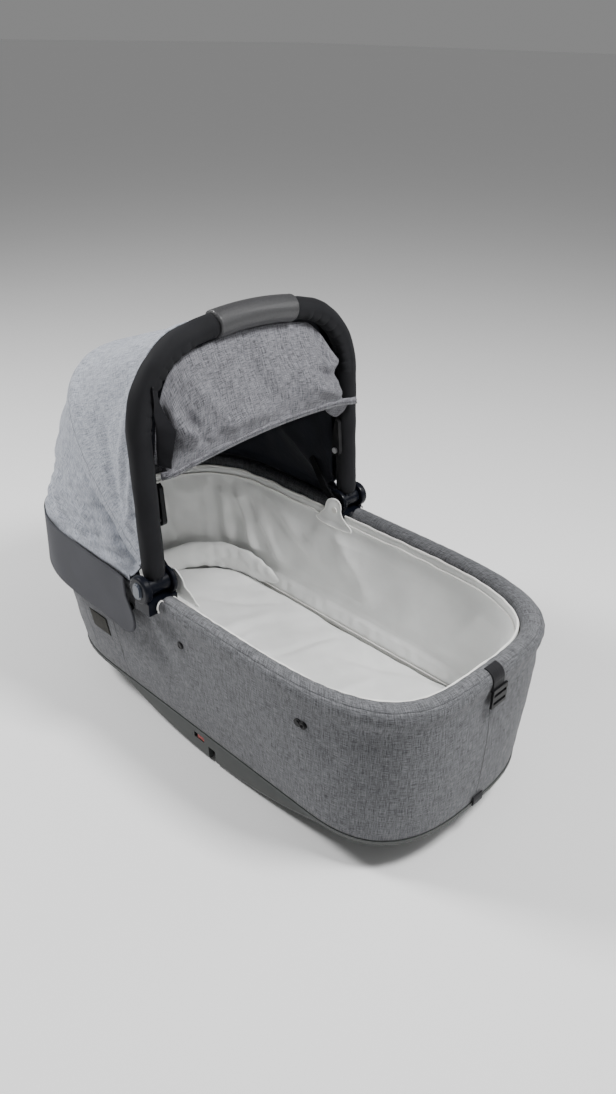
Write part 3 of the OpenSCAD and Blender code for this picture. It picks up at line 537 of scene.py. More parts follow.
def outline(z, out):
    """Dense outline at a height, from the middle of the foot end up the right side and round.

    Each end is a superellipse: x = half x cos^(2/power), y = bend + depth x sin^(2/power).
    """
    half = level(0.188, half_top, z) + out
    foot = level(0.410, foot_top, z) + out
    head = level(0.386, head_top, z) + out
    foot_bend, head_bend = level(-0.251, -0.070, z), level(0.196, 0.212, z)
    foot_power, head_power = level(2.8, 3.8, z), level(2.8, 2.8, z)
    c, s = np.cos(half_turn), np.sin(half_turn)
    head_end = np.stack([half * bulge(c, head_power),
                         head_bend + (head - head_bend) * bulge(s, head_power)], 1)
    foot_end = np.stack([-half * bulge(c, foot_power),
                         foot_bend - (foot + foot_bend) * bulge(s, foot_power)], 1)
    middle = len(half_turn) // 2
    return np.concatenate([foot_end[middle:], head_end, foot_end[:middle + 1]])


def ring(z, out, shares):
    """Points of the outline at shares of its length, counted from the middle of the foot end."""
    path = outline(z, out)
    run = run_along(path)
    at = np.asarray(shares) * run[-1]
    xy = np.stack([np.interp(at, run, path[:, k]) for k in (0, 1)], 1)
    return np.concatenate([xy, np.full((len(xy), 1), z)], 1)


def wall(section, shares):
    """Grid of a wall: each (height, offset) of the section is one ring."""
    return np.stack([ring(z, out, shares) for z, out in section], 1)


def share_at(y, side, z=RIM):
    """Share of the ring at which the straight side (1 right, -1 left) passes a place y."""
    tries = np.linspace(0, 0.5, 4001)
    y_tries = ring(z, 0.0, tries)[:, 1]
    share = float(np.interp(y, y_tries, tries))
    return share if side > 0 else 1 - share


perimeter = float(run_along(outline(RIM, 0))[-1])
print("rim runs", round(perimeter, 3), "m; hinge at", round(HINGE_Y, 4), round(HINGE_Z, 4))

# %% [markdown]
# ## The melange cover
# One cloth runs from the base seam up the wall and over the padded roll to a seam on top of the
# rim. At each hinge it is cut down in a short scoop, so that the handle can turn. The section is
# drawn once as heights and offsets, carried round the outline, and each column of the grid is
# then shortened where the scoop is.

# %% Cover
even = np.arange(420) / 420
near_hinge = np.concatenate([np.linspace(share_at(HINGE_Y - 0.034, s), share_at(HINGE_Y + 0.034, s), 58)
                             for s in (1, -1)])
shares = np.unique(np.round(np.concatenate([even, near_hinge]), 7))
cover_section = smooth([(0.0578, -0.0008), (0.0605, 0.0006), (0.075, 0.0024), (0.100, 0.0042),
                        (0.130, 0.0062), (0.160, 0.0078), (0.190, 0.0088), (0.220, 0.0093),
                        (0.243, 0.0096), (0.256, 0.0104), (0.2655, 0.0126), (0.2725, 0.0143),
                        (0.279, 0.0150), (0.2862, 0.0131), (0.2900, 0.0101),
                        (0.2905, 0.0090), (0.2896, 0.0081)], 90)
full = wall(cover_section, shares)
at_rim = ring(RIM, 0.0, shares)
away = np.abs(at_rim[:, 1] - HINGE_Y)
scoop_row = np.argmin(np.abs(cover_section[:, 0] - 0.2640)) / (len(cover_section) - 1)
open_up = np.clip((away - 0.0185) / 0.0105, 0, 1)
eased = open_up * open_up * (3 - 2 * open_up)
reach = scoop_row + (1 - scoop_row) * eased


def shortened(grid, reach, start=0.0):
    """Each column runs from start to its own reach, both as shares of the full section."""
    count = grid.shape[1]
    at = (start + (reach - start)[:, None] * np.linspace(0, 1, count)) * (count - 1)
    low = np.clip(np.floor(at).astype(int), 0, count - 2)
    f = (at - low)[..., None]
    rows = np.arange(len(grid))[:, None]
    return grid[rows, low] * (1 - f) + grid[rows, low + 1] * f


cover_grid = shortened(full, reach)
height = cover_grid[..., 2]
puff = np.clip((height - 0.062) / 0.03, 0, 1) * np.clip((0.262 - height) / 0.03, 0, 1)
move = (ripples(cover_grid, 0.0011, 0.16, 3) + ripples(cover_grid, 0.0005, 0.05, 4)) * puff
move += ripples(cover_grid, 0.00035, 0.022, 5) * np.clip((height - 0.262) / 0.01, 0, 1)
pulled = np.abs(height - 0.262) / 0.012
run = np.asarray(shares)[:, None] * perimeter
move -= 0.0006 * np.exp(-pulled**2) * (0.5 + 0.5 * np.sin(run * 2 * np.pi / 0.028 + 2 * np.sin(run * 9)))
cover_grid = cover_grid + grid_normals(cover_grid, True) * move[..., None]

cloth_run = float(run_along(np.concatenate([cover_grid, cover_grid[:1]]))[-1].mean())
seam_places = [("u", 0.0, 0.0, 0.205), ("u", cloth_run, 0.0, 0.205)]
for y, z in ((0.2545, 0.15), (0.166, 0.15)):
    for side in (1, -1):
        seam_places.append(("u", share_at(y, side, z) * cloth_run, 0.0, 0.17))
# The cover's melange is a darker copy of the hood's: painted shade for the walls, which catch less light;
# the cloth itself is the same.
shaded_cover_melange = woven("shaded_cover_melange", (0.040, 0.041, 0.044), (0.190, 0.193, 0.205), sheen=0.06,
                      contrast=4.2, seams=seam_places)
cover = surface("cover", cover_grid, shaded_cover_melange, around=True)
print("cover:", cover_grid.shape, "rises to", round(float(cover_grid[..., 2].max()), 4))

# %% [markdown]
# The strip inside the rim is a cloth of its own, sewn to the cover along the top. It starts a
# little lower than the cover ends, so that the seam is a real groove, and it dives down between
# the roll and the liner.

# %% Inner rim strip
angles = np.radians(np.linspace(46, 236, 40))
strip_r = roll - 0.0016 * np.exp(-((np.degrees(angles) - 46) / 5) ** 2)
strip_section = np.stack([RIM + strip_r * np.sin(angles), strip_r * np.cos(angles)], 1)
strip_grid = wall(strip_section, shares)
dip = (1 - eased)[:, None]
strip_low = np.clip(strip_section[:, 0][None], None, 0.2640)
strip_grid[..., 2] = strip_grid[..., 2] * (1 - dip) + strip_low * dip
strip_grid += grid_normals(strip_grid, True) * ripples(strip_grid, 0.0003, 0.02, 8)[..., None]
strip = surface("rim_strip", strip_grid, shaded_rim_melange, around=True)
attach(cover, "tub")
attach(strip, "tub")
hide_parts("side_cover", "rim_padding")
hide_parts("rim_cover")

# %% [markdown]
# Where the cover is cut down for the hinge, its edge is bound with cream piping. The piping
# follows the edge of the grid itself, a millimetre above it.

# %% Piping of the hinge scoops
for side, label in ((1, "right"), (-1, "left")):
    chosen = (away < 0.032) & (np.sign(at_rim[:, 0]) == side)
    edge = cover_grid[chosen][:, -1] + np.array([side * 0.0006, 0, 0.0010])
    edge = evenly(edge, 90)
    edge[:, 2] += 0.0007 * np.sin(np.linspace(0, 30, 90))
    edge[:, 0] += side * 0.0008 * np.sin(np.linspace(1, 24, 90))
    cord = tube("scoop_piping_" + label, edge, 0.0013, 10, (0, 0, 1.0), piping_cloth)
    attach(cord, "tub")
print("piping on both scoops")

# %% [markdown]
# Each press stud of the cover sits in a little dimple of the cloth, so a domed cap with a hole
# is set on it. The dome is a turned profile: pairs of radius and height.

# %% Stud caps
dome = np.array([(0.0062, -0.0020), (0.0062, 0.0008), (0.0054, 0.0020), (0.0036, 0.0024),
                 (0.0026, 0.0018), (0.0022, 0.0004), (0.0001, 0.0004)])
spin = np.linspace(0, 2 * np.pi, 28, endpoint=False)
for index, (side, y) in enumerate([(-1, -0.017), (-1, -0.2561), (1, -0.017), (1, -0.2561)]):
    base = ring(0.228, 0.0104, [share_at(y, side, 0.228)])[0]
    cap = np.stack([np.broadcast_to(base[0] + side * dome[None, :, 1], (28, 7)),
                    base[1] + dome[None, :, 0] * np.cos(spin)[:, None],
                    base[2] + dome[None, :, 0] * np.sin(spin)[:, None]], -1)
    stud = surface(f"stud_cap_{index + 1}", cap, black_plastic, around=True, flip=side < 0)
    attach(stud, "tub")
print("four stud caps")

# %% [markdown]
# ## The white liner
# The liner hangs inside the wall from a hem under the rim, bends in at a sewn line a hand's
# width above the floor and tucks under the mattress. It is one closed sheet: a section carried
# round the outline, pushed out by soft wadding and pulled into folds at the head corners.

# %% Liner
def nearest(grid, place):
    """The point of a grid that is nearest to a place."""
    far = np.linalg.norm(grid - np.asarray(place), axis=-1)
    return grid[np.unravel_index(np.argmin(far), far.shape)]


liner_section = smooth([(0.2640, -0.0163), (0.2775, -0.0164), (0.2797, -0.0178), (0.2775, -0.0196),
                        (0.2690, -0.0199), (0.2500, -0.0196), (0.2200, -0.0215), (0.1850, -0.0245),
                        (0.1500, -0.0275), (0.1290, -0.0298), (0.1215, -0.0318), (0.1150, -0.0330),
                        (0.1000, -0.0372), (0.0900, -0.0392), (0.0780, -0.0398)], 110)
liner_shares = np.arange(440) / 440
liner_grid = wall(liner_section, liner_shares)
height = liner_grid[..., 2]
inward = facing(-grid_normals(liner_grid, True), (10, 60), (0, 1, 0))
panel = np.clip((0.262 - height) / 0.03, 0, 1) * np.clip((height - 0.124) / 0.02, 0, 1)
lower = np.clip((0.118 - height) / 0.008, 0, 1) * np.clip((height - 0.084) / 0.01, 0, 1)
head_side = np.clip((liner_grid[..., 1] - 0.10) / 0.12, 0, 1)
push = 0.0035 * panel + 0.0030 * lower
push += panel * (ripples(liner_grid, 0.0016, 0.14, 11) + ripples(liner_grid, 0.0007, 0.05, 12))
push += panel * head_side * ripples(liner_grid, 0.0032, 0.06, 13)

push += lower * ripples(liner_grid, 0.0010, 0.035, 14)
for start, stop, wide, tall in [
        ((0.178, 0.27, 0.262), (0.172, 0.16, 0.135), 0.010, 0.006),
        ((0.176, 0.30, 0.258), (0.168, 0.22, 0.125), 0.009, 0.007),
        ((0.160, 0.33, 0.262), (0.155, 0.29, 0.120), 0.010, 0.007),
        ((0.182, 0.22, 0.262), (0.176, 0.06, 0.165), 0.012, 0.004),
        ((0.185, 0.06, 0.262), (0.178, -0.06, 0.150), 0.014, 0.003),
        ((0.130, 0.35, 0.262), (0.130, 0.33, 0.130), 0.009, 0.005),
        ((-0.178, 0.27, 0.262), (-0.172, 0.17, 0.135), 0.011, 0.006),
        ((-0.150, 0.34, 0.262), (-0.150, 0.31, 0.125), 0.010, 0.006),
        ((0.05, 0.375, 0.262), (0.07, 0.355, 0.130), 0.010, 0.004),
        ((-0.06, 0.375, 0.262), (-0.05, 0.355, 0.130), 0.010, 0.004),
        ((0.150, -0.36, 0.258), (0.150, -0.33, 0.130), 0.012, 0.004),
        ((0.172, -0.30, 0.262), (0.165, -0.22, 0.130), 0.014, 0.003)]:
    start_at, stop_at = nearest(liner_grid, start), nearest(liner_grid, stop)
    push += panel * fold(liner_grid, start_at, stop_at, wide, tall * 1.4)
gather = np.exp(-((height - 0.2655) / 0.006) ** 2)
run = liner_shares[:, None] * perimeter
push -= gather * 0.0006 * (1 + np.sin(run * 2 * np.pi / 0.017 + 3 * np.sin(run * 6)))
liner_grid = liner_grid + inward * push[..., None]
liner = surface("liner_sheet", liner_grid, white_cloth, around=True, flip=True)
thicken(liner, 0.0012, 1.0)
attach(liner, "tub")
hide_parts("liner", "liner_binding")
print("liner:", liner_grid.shape)

# %% [markdown]
# The hem has two rows of piping, one on the edge and one a centimetre lower.

# %% Liner piping
for name, z, out, radius, seed in (("liner_piping_top", 0.2804, -0.0182, 0.0021, 21),
                                   ("liner_piping_low", 0.2690, -0.0212, 0.0016, 22)):
    path = ring(z, out, np.arange(360) / 360)
    path[:, 2] += ripples(path, 0.0010, 0.05, seed)
    made = tube(name, path, radius, 8, (0, 0, 1.0), piping_cloth, closed=True)
    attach(made, "tub")

# %% [markdown]
# ## The tabs over the hinges
# A rounded flap of the liner stands up in front of each hinge and closes with a press stud. The
# flap is a fan: its rim is a half circle on a wide foot, drawn as a closed outline that shrinks
# towards its middle. It leans and curls a little, as cloth does.

# %% Liner tabs
tab_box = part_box("liner_tabs")
tab_x = tab_box[1].x


def fan(rim_points, count):
    """Grid that shrinks a closed outline towards its middle; the last ring is a point."""
    middle = rim_points.mean(0)
    shares = np.linspace(1, 0, count)[None, :, None]
    return middle + (rim_points[:, None] - middle) * shares


for side, label in ((1, "right"), (-1, "left")):
    a = np.radians(np.linspace(-12, 190, 40))
    top = np.stack([HINGE_Y - 0.004 + 0.0172 * np.cos(a), 0.2995 + 0.0165 * np.sin(a)], 1)
    foot_line = np.array([(HINGE_Y - 0.0255, 0.290), (HINGE_Y - 0.0375, 0.281),
                          (HINGE_Y - 0.0495, 0.268), (HINGE_Y, 0.2645), (HINGE_Y + 0.033, 0.268),
                          (HINGE_Y + 0.028, 0.277), (HINGE_Y + 0.0175, 0.289)])
    line = evenly(np.vstack([smooth(np.vstack([top, foot_line]), 120), top[:1]]), 97)[:-1]
    flat = fan(np.concatenate([np.zeros((len(line), 1)), line], 1), 12)
    y, z = flat[..., 1], flat[..., 2]
    tilt = 0.0035 * np.clip((z - 0.285) / 0.03, 0, 1) ** 2
    curl = 0.0016 * np.sin((y - HINGE_Y) * 150 + 1) * np.clip((z - 0.272) / 0.02, 0, 1)
    flat[..., 0] = side * (tab_x - 0.0022 + tilt - curl - 0.004 * np.clip((0.274 - z) / 0.01, 0, 1))
    tab = surface("liner_tab_" + label, flat, white_cloth, around=True, flip=side > 0)
    thicken(tab, 0.0013, 0.0)
    hem_line = flat[:, 0] + (flat[:, 2] - flat[:, 0]) * 0.2
    hem = tube("tab_hem_" + label, hem_line - np.array([side * 0.0006, 0, 0]), 0.0009, 8,
               (1.0, 0, 0), piping_cloth, closed=True)
    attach(tab, "tub")
    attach(hem, "tub")
    if side > 0:
        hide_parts("liner_tabs")
print("two hinge tabs")

# %% [markdown]
# ## Mattress and bolster
# The mattress is simulated: its block is remeshed finely, blown up a little by Blender's Cloth
# with pressure and no gravity, and no point may move further than a cap. That gives the crown
# and the soft edge of real wadding. The seam and the wrinkles are added to the settled shape.

# %% Padded blocks
def read_points(piece):
    """The piece's vertices, as an array of points."""
    co = np.zeros(len(piece.data.vertices) * 3)
    piece.data.vertices.foreach_get("co", co)
    return co.reshape(-1, 3)


def write_points(piece, points):
    """Moves the piece's vertices to the points."""
    piece.data.vertices.foreach_set("co", points.astype(np.float32).ravel())
    piece.data.update()


def apply_modifiers(piece):
    """Keeps the shape that the modifiers give, as a plain mesh."""
    graph = bpy.context.evaluated_depsgraph_get()
    piece.data = bpy.data.meshes.new_from_object(piece.evaluated_get(graph))
    piece.modifiers.clear()


def inflate(piece, voxel, cap, pressure=4.0):
    """Remesh, then let pressure swell the piece for 20 steps; a point moves at most cap."""
    remesh = piece.modifiers.new("remesh", "REMESH")
    remesh.mode = "VOXEL"
    remesh.voxel_size = voxel
    apply_modifiers(piece)
    start = read_points(piece)
    cloth = piece.modifiers.new("cloth", "CLOTH")
    cloth.settings.use_pressure = True
    cloth.settings.uniform_pressure_force = pressure
    cloth.settings.effector_weights.gravity = 0.0
    cloth.settings.quality = 5
    for step in range(1, 21):
        bpy.context.scene.frame_set(step)
    apply_modifiers(piece)
    bpy.context.scene.frame_set(1)
    moved = read_points(piece) - start
    far = np.linalg.norm(moved, axis=1, keepdims=True)
    write_points(piece, start + moved * np.minimum(1, cap / np.maximum(far, 1e-9)))
    return piece


def box_uv(piece):
    """UV of a padded block, seen from above, in metres."""
    mesh = piece.data
    layer = mesh.uv_layers.get("UVMap") or mesh.uv_layers.new(name="UVMap")
    index = np.zeros(len(mesh.loops), np.int32)
    mesh.loops.foreach_get("vertex_index", index)
    p = read_points(piece)[index]
    layer.data.foreach_set("uv", np.stack([p[:, 0], p[:, 1] + p[:, 2]], 1).ravel().astype(np.float32))
    mesh.polygons.foreach_set("use_smooth", np.ones(len(mesh.polygons), bool))
    mesh.materials.clear()
    mesh.materials.append(white_cloth)


low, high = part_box("mattress")
side_rows = smooth([(low.z + 0.0005, -0.060), (low.z + 0.0005, -0.0465), (low.z + 0.004, -0.0415),
                    (low.z + 0.010, -0.0402), (high.z - 0.009, -0.0402), (high.z - 0.003, -0.0420),
                    (high.z - 0.0005, -0.0470), (high.z, -0.062)], 26)
block = np.stack([ring(SEAM, out, np.arange(240) / 240) for _, out in side_rows], 1)
block[..., 2] = side_rows[:, 0]
caps = [block[:, :1] * np.array([f, f, 1.0]) for f in (0.002, 0.5)]
lids = [block[:, -1:] * np.array([f, f, 1.0]) for f in (0.85, 0.6, 0.3, 0.002)]
mattress = surface("mattress_pad", np.concatenate([*caps, block, *lids], 1), white_cloth, around=True)
inflate(mattress, 0.0055, 0.006)
p = read_points(mattress)
top = np.clip((p[:, 2] - (low.z + high.z) / 2) / 0.010, 0, 1)
lift = 0.004 * (1 - (p[:, 0] / 0.16) ** 2) * np.clip(1 - (p[:, 1] / 0.37) ** 2, 0, 1)
lift += ripples(p * np.array([1.0, 0.6, 0.2]), 0.0026, 0.10, 31) + ripples(p, 0.0008, 0.04, 32)
for start, stop, wide, tall in [((-0.12, -0.12, 0.09), (0.05, -0.16, 0.09), 0.012, 0.0045),
                                ((-0.13, -0.02, 0.09), (-0.02, 0.02, 0.09), 0.012, 0.005),
                                ((-0.10, 0.12, 0.09), (0.08, 0.09, 0.09), 0.014, 0.0045),
                                ((-0.12, -0.24, 0.09), (0.02, -0.28, 0.09), 0.012, 0.0045),
                                ((0.05, -0.05, 0.09), (0.12, -0.20, 0.09), 0.010, -0.005),
                                ((-0.14, 0.05, 0.09), (0.00, 0.07, 0.09), 0.008, 0.005),
                                ((-0.14, -0.07, 0.09), (-0.03, -0.06, 0.09), 0.008, 0.005),
                                ((-0.10, -0.19, 0.09), (0.03, -0.22, 0.09), 0.007, 0.004),
                                ((0.02, 0.20, 0.09), (0.11, 0.10, 0.09), 0.009, -0.004),
                                ((-0.02, 0.00, 0.09), (0.10, -0.04, 0.09), 0.008, -0.004)]:
    lift += fold(p * np.array([1, 1, 0]) + np.array([0, 0, 0.09]), start, stop, wide, tall)
p[:, 2] += np.clip(lift, -0.005, 0.010) * top
p[:, 2] = np.maximum(p[:, 2], low.z + 0.0003)
write_points(mattress, p)
smoother = mattress.modifiers.new("smooth", "SUBSURF")
smoother.levels = smoother.render_levels = 1
box_uv(mattress)
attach(mattress, "mattress")
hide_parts("mattress")
print("mattress points:", len(p), "top at", round(float(p[:, 2].max()), 4))

# %% [markdown]
# The edge of the mattress is bound with a cord. The bolster is a sausage that lies round the
# head end on top of the mattress: an oval section along the outline, thinner at both ends and
# drawn in every few centimetres where it is quilted.

# %% Mattress cord and head bolster
edge = ring(SEAM, -0.0415, np.arange(300) / 300)
edge[:, 2] = high.z - 0.0015
edge_cord = tube("mattress_cord", edge, 0.0012, 8, (0, 0, 1.0), piping_cloth, closed=True)
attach(edge_cord, "mattress")

low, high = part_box("head_bolster")
span = np.linspace(share_at(0.170, 1, SEAM), 1 - share_at(0.170, 1, SEAM), 150)
core = ring(SEAM, -0.0500, span)
core[:, 2] = low.z + 0.0265
run = run_along(core)
ends = np.sin(np.pi / 2 * np.clip(np.minimum(run, run[-1] - run) / 0.09, 0, 1)) ** 0.7
quilt = 1 - 0.06 * np.exp(-(((run % 0.072) - 0.036) / 0.006) ** 2)
angle = np.linspace(0, 2 * np.pi, 36, endpoint=False)
oval = 0.0092 * (ends * quilt)[:, None] * np.ones((1, 36))
bolster_grid = tube_grid(core, oval + 1e-4, 36, np.array([0, 0, 1.0]), squeeze=2.95)
bolster_grid += grid_normals(bolster_grid) * ripples(bolster_grid, 0.0009, 0.03, 33)[..., None]
bolster_grid[..., 2] = np.maximum(bolster_grid[..., 2], low.z)
bolster = surface("bolster_pad", bolster_grid, white_cloth, across=True)
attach(bolster, "mattress")
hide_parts("head_bolster")
print("bolster from y", round(float(core[:, 1].min()), 3))

# %% [markdown]
# ## The hood
# The hood is one continuous canopy. It leaves the handle arch, is stretched over the rear bow
# and runs down behind the head end into the dark band. Three guide curves, each a superellipse
# in its own leaning plane, are joined row by row. For each point a share of the handle's turn
# about the hinge is worked out: the whole of it at the handle, none at the band, and at the bow
# exactly the share by which the bow follows. The shares are not kept, so nothing turns.

# %% Hood guide curves
lean = math.radians(3.4)
arch_top = (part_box("handle_tube")[1].z - HINGE_Z) / math.cos(lean) - 0.0105 + HINGE_Z
bow_angle = math.radians(50)
bow_share = frame["record"]["behaviour"]["couplings"][0]["ratio"]
HOOD_BACK = 0.0178
BOW_ROUND = 0.012
BROW_RISE = 0.0075
ARCH_HALF, ARCH_RISE, ARCH_POWER, ARCH_FOOT = 0.207, 0.361, 4.6, 0.016
BOW_HALF, BOW_RISE, BOW_POWER, BOW_FOOT = 0.208, 0.394, 3.4, 0.034
low_turns = np.geomspace(0.06, 8, 200)
turns = np.radians(np.concatenate([low_turns, np.linspace(8.1, 171.9, 1100), 180 - low_turns[::-1]]))


def front_curve(t, back=0.0206, inside=0.0):
    """Along the rear of the handle arch: a superellipse of half width x cos, rise x sin."""
    x = (ARCH_HALF - inside) * bulge(np.cos(t), ARCH_POWER)
    h = np.maximum((ARCH_RISE - inside) * bulge(np.sin(t), ARCH_POWER), ARCH_FOOT)
    return np.stack([x, HINGE_Y + back * math.cos(lean) + h * math.sin(lean),
                     HINGE_Z + h * math.cos(lean) - back * math.sin(lean)], 1)


def bow_curve(t, back=0.0, inside=0.0):
    """Over the rear bow: a superellipse in a plane that leans back by the bow's angle."""
    x = (BOW_HALF - inside) * bulge(np.cos(t), BOW_POWER)
    h = np.maximum((BOW_RISE - inside) * bulge(np.sin(t), BOW_POWER), BOW_FOOT)
    up = np.maximum(0, 0.010 - h / 8)
    return np.stack([x, HINGE_Y + h * math.sin(bow_angle) + back * math.cos(bow_angle),
                     HINGE_Z + h * math.cos(bow_angle) + up - back * math.sin(bow_angle)], 1)


def band_curve(t, z, out):
    """Along the band: up each side first, then round the head end."""
    share = np.interp(t, [turns[0], np.pi / 2, turns[-1]],
                      [share_at(HINGE_Y + 0.034, 1), 0.5, 1 - share_at(HINGE_Y + 0.034, 1)])
    path = ring(RIM, out, share)
    path[:, 2] = z
    return path


mean_curve = (front_curve(turns) + bow_curve(turns)) / 2
even_run = np.linspace(0, run_along(mean_curve)[-1], 190)
t_even = np.interp(even_run, run_along(mean_curve), turns)
print("arch top", round(arch_top, 4), "hood columns", len(t_even))

# %% [markdown]
# Between the guide curves the rows are straight lines that sag a little, since cloth between two
# bows takes a saddle. A soft radius goes over the bow itself. Wrinkles gather low on the sides,
# where the cloth is slack.

# %% Hood canopy
def canopy(inside, t):
    """Rows from the handle to the band, and their sag: straight spans, rounded over the bow."""
    front = front_curve(t, HOOD_BACK, inside)
    before, over, after = (bow_curve(t, back, inside + drop) for back, drop in
                           ((-BOW_ROUND, 0.0007), (0.0, 0.0), (BOW_ROUND, 0.0007)))
    hem = band_curve(t, HINGE_Z - 0.004, 0.0192 - inside)
    brow = band_curve(t, HINGE_Z + BROW_RISE, 0.0204 - inside)
    first = front[:, None] + (before - front)[:, None] * np.linspace(0, 1, 34)[None, :, None]
    second = after[:, None] + (brow - after)[:, None] * np.linspace(0, 1, 30)[None, :, None]
    rows = np.concatenate([first, over[:, None], second, hem[:, None]], 1)
    s1 = np.sin(np.pi * np.linspace(0, 1, 34)) ** 0.8
    s2 = np.sin(np.pi * np.linspace(0, 1, 30))
    sag = np.concatenate([-0.0045 * s1, [0], 0.004 * s2, [0]])
    return rows, sag


hood_grid, sag = canopy(0.0, t_even)
normal = facing(grid_normals(hood_grid), (95, 15), (0, 0, 1))
inner = np.ones(66)
inner[[0, 1, -1, -2]] = [0, 0.5, 0, 0.3]
inner[32:38] = [0.6, 0.3, 0.15, 0.15, 0.3, 0.6]
slack = np.clip((0.45 - hood_grid[..., 2]) / 0.12, 0, 1)
crown = np.clip((hood_grid[..., 2] - 0.35) / 0.1, 0, 1)
move = sag[None] * crown
move += inner[None] * (ripples(hood_grid, 0.0026, 0.13, 41) + ripples(hood_grid, 0.0012, 0.045, 42))
move += inner[None] * slack * ripples(hood_grid * np.array([1, 1, 2.0]), 0.0038, 0.055, 43)
flank = np.where(np.abs(hood_grid[..., :1]) > 0.15, np.sign(hood_grid[..., :1]), 9.0)
flank = np.concatenate([flank, hood_grid[..., 1:]], -1)
for start, stop, wide, tall in [
        ((-1, 0.31, 0.360), (-1, 0.20, 0.330), 0.007, 0.006),
        ((-1, 0.30, 0.340), (-1, 0.17, 0.318), 0.006, -0.004),
        ((-1, 0.15, 0.345), (-1, 0.09, 0.325), 0.006, 0.005),
        ((-1, 0.22, 0.430), (-1, 0.10, 0.340), 0.010, -0.005),
        ((-1, 0.26, 0.400), (-1, 0.14, 0.330), 0.008, 0.005),
        ((-1, 0.09, 0.600), (-1, 0.12, 0.380), 0.012, 0.004),
        ((-1, 0.075, 0.50), (-1, 0.11, 0.34), 0.008, 0.004),
        ((-1, 0.17, 0.520), (-1, 0.11, 0.37), 0.012, -0.004),
        ((1, 0.28, 0.345), (1, 0.18, 0.325), 0.008, 0.005),
        ((1, 0.20, 0.430), (1, 0.10, 0.345), 0.010, -0.004)]:
    move += inner[None] * fold(flank, start, stop, wide * 0.85, tall * 1.5)
hood_grid = hood_grid + normal * move[..., None]
column_run = run_along(np.swapaxes(hood_grid, 0, 1)).mean(1)
bow_place = float(column_run[34])
hood_cloth = woven("hood_melange", (0.15, 0.163, 0.192), (0.49, 0.51, 0.565), contrast=4.8, sheen=0.08,
                   seams=[("v", bow_place, -0.1, 3.0)], stitch=(0.10, 0.105, 0.12))
across_hood, down_hood = hood_grid[96, 15] - hood_grid[95, 15], hood_grid[95, 16] - hood_grid[95, 15]
flip_hood = bool(np.cross(across_hood, down_hood)[2] < 0)
hood = surface("hood_canopy", hood_grid, hood_cloth, flip=flip_hood)
thicken(hood, 0.0016, lined=True)


def fold_share(points):
    """Share of the handle's turn at each point.

    It is 1 at the handle's plane, the bow's share close to the bow's plane
    and 0 at the band; between two of them the distances to both set the mix.
    """
    y, z = points[:, 1] - HINGE_Y, points[:, 2] - HINGE_Z
    from_handle = np.clip(y * math.cos(lean) - z * math.sin(lean) - HOOD_BACK, 0, None)
    from_bow = y * math.cos(bow_angle) - z * math.sin(bow_angle)
    close = BOW_ROUND + 0.0005
    before, after = np.clip(-from_bow - close, 0, None), np.clip(from_bow - close, 0, None)
    from_band = np.clip(z - BROW_RISE, 0, None)
    ahead = bow_share + (1 - bow_share) * before / (before + from_handle + 1e-9)
    behind = bow_share * from_band / (from_band + after + 1e-9)
    return np.where(from_bow > 0, behind, ahead)


def hang_between(piece):
    """Bakes the piece's placement into its mesh and works out the share of the handle's turn at each point;
    the shares are not kept.
    """
    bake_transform(piece)
    shares = fold_share(read_points(piece)).astype(np.float32)


hang_between(hood)
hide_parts("hood_front", "hood_back")
print("hood grid", hood_grid.shape, "bow seam at", round(bow_place, 3))

# %% [markdown]
# Inside hangs a black lining, a little under the canopy and under the rear bow. It is slack, so
# its ripples are deeper.

# %% Hood lining
lining_grid = canopy(0.0170, t_even)[0]
normal = facing(grid_normals(lining_grid), (95, 15), (0, 0, 1))
hush = np.sin(np.pi * np.linspace(0, 1, lining_grid.shape[1]))[None]
droop = -0.003 + ripples(lining_grid, 0.0022, 0.07, 51)
lining_grid = lining_grid + normal * (hush * droop * np.clip(
    (lining_grid[..., 2] - 0.32) / 0.05, 0, 1))[..., None]
lining = surface("hood_lining_sheet", lining_grid, lining_cloth, flip=not flip_hood)
hang_between(lining)
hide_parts("hood_lining")
print("lining", lining_grid.shape)

# %% [markdown]
# ## The dark band
# A smooth, stiff strip of dark cloth runs round the head end and closes the hood at the bottom.
# Its free ends come forward under the hinges, with a rounded corner. For each height the band
# starts at its own place, and that curve is its rounded front end.

# %% Hood band
band_rows = np.linspace(0, 1, 26)
front_y = smooth([(0.0, 0.0810), (0.16, 0.0800), (0.32, 0.0775), (0.48, 0.0690), (0.64, 0.0615),
                  (0.78, 0.0600), (0.88, 0.0640), (0.95, 0.0710), (1.0, 0.0850)], 400)
start_y = np.interp(band_rows, front_y[:, 0], front_y[:, 1])
columns = []
for share, y0 in zip(band_rows, start_y):
    z = 0.3035 - 0.0945 * share
    out = 0.0222 + 0.0022 * share
    first = share_at(y0, 1)
    row = ring(RIM, out, np.linspace(first, 1 - first, 190))
    row[:, 2] = z + 0.012 * np.clip((row[:, 1] - 0.09) / 0.30, 0, 1)
    columns.append(row)
band_grid = np.stack(columns, 1)
band_out = facing(grid_normals(band_grid), (5, 10), (1, 0, 0))
run = run_along(band_grid[:, 0])[:, None]
flare = 0.0022 * np.exp(-np.minimum(run, run[-1] - run) / 0.03)
band_grid = band_grid + band_out * (flare + ripples(band_grid, 0.0006, 0.09, 61))[..., None]
band = surface("hood_band_cloth", band_grid, band_cloth, flip=False)
thicken(band, 0.0024, -1.0)
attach(band, "tub")
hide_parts("hood_band")
print("band", band_grid.shape)

# %% [markdown]
# ## The sun visor
# Under the grip hangs the visor, a soft panel of melange with a piped, stiff brim. Its columns
# run from the arch down to the brim; ripples and a few folds make it hang as loose cloth does.
# Both side edges are drawn back; at the left, the shade in the hollow behind the panel is painted as a
# near-black sheet.

# %% Visor
panel_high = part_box("visor_panel")[1]
visor_top_z = (panel_high.z - HINGE_Z) / math.cos(lean) + HINGE_Z
brim_half = 0.184
drop_at_brim = 0.156


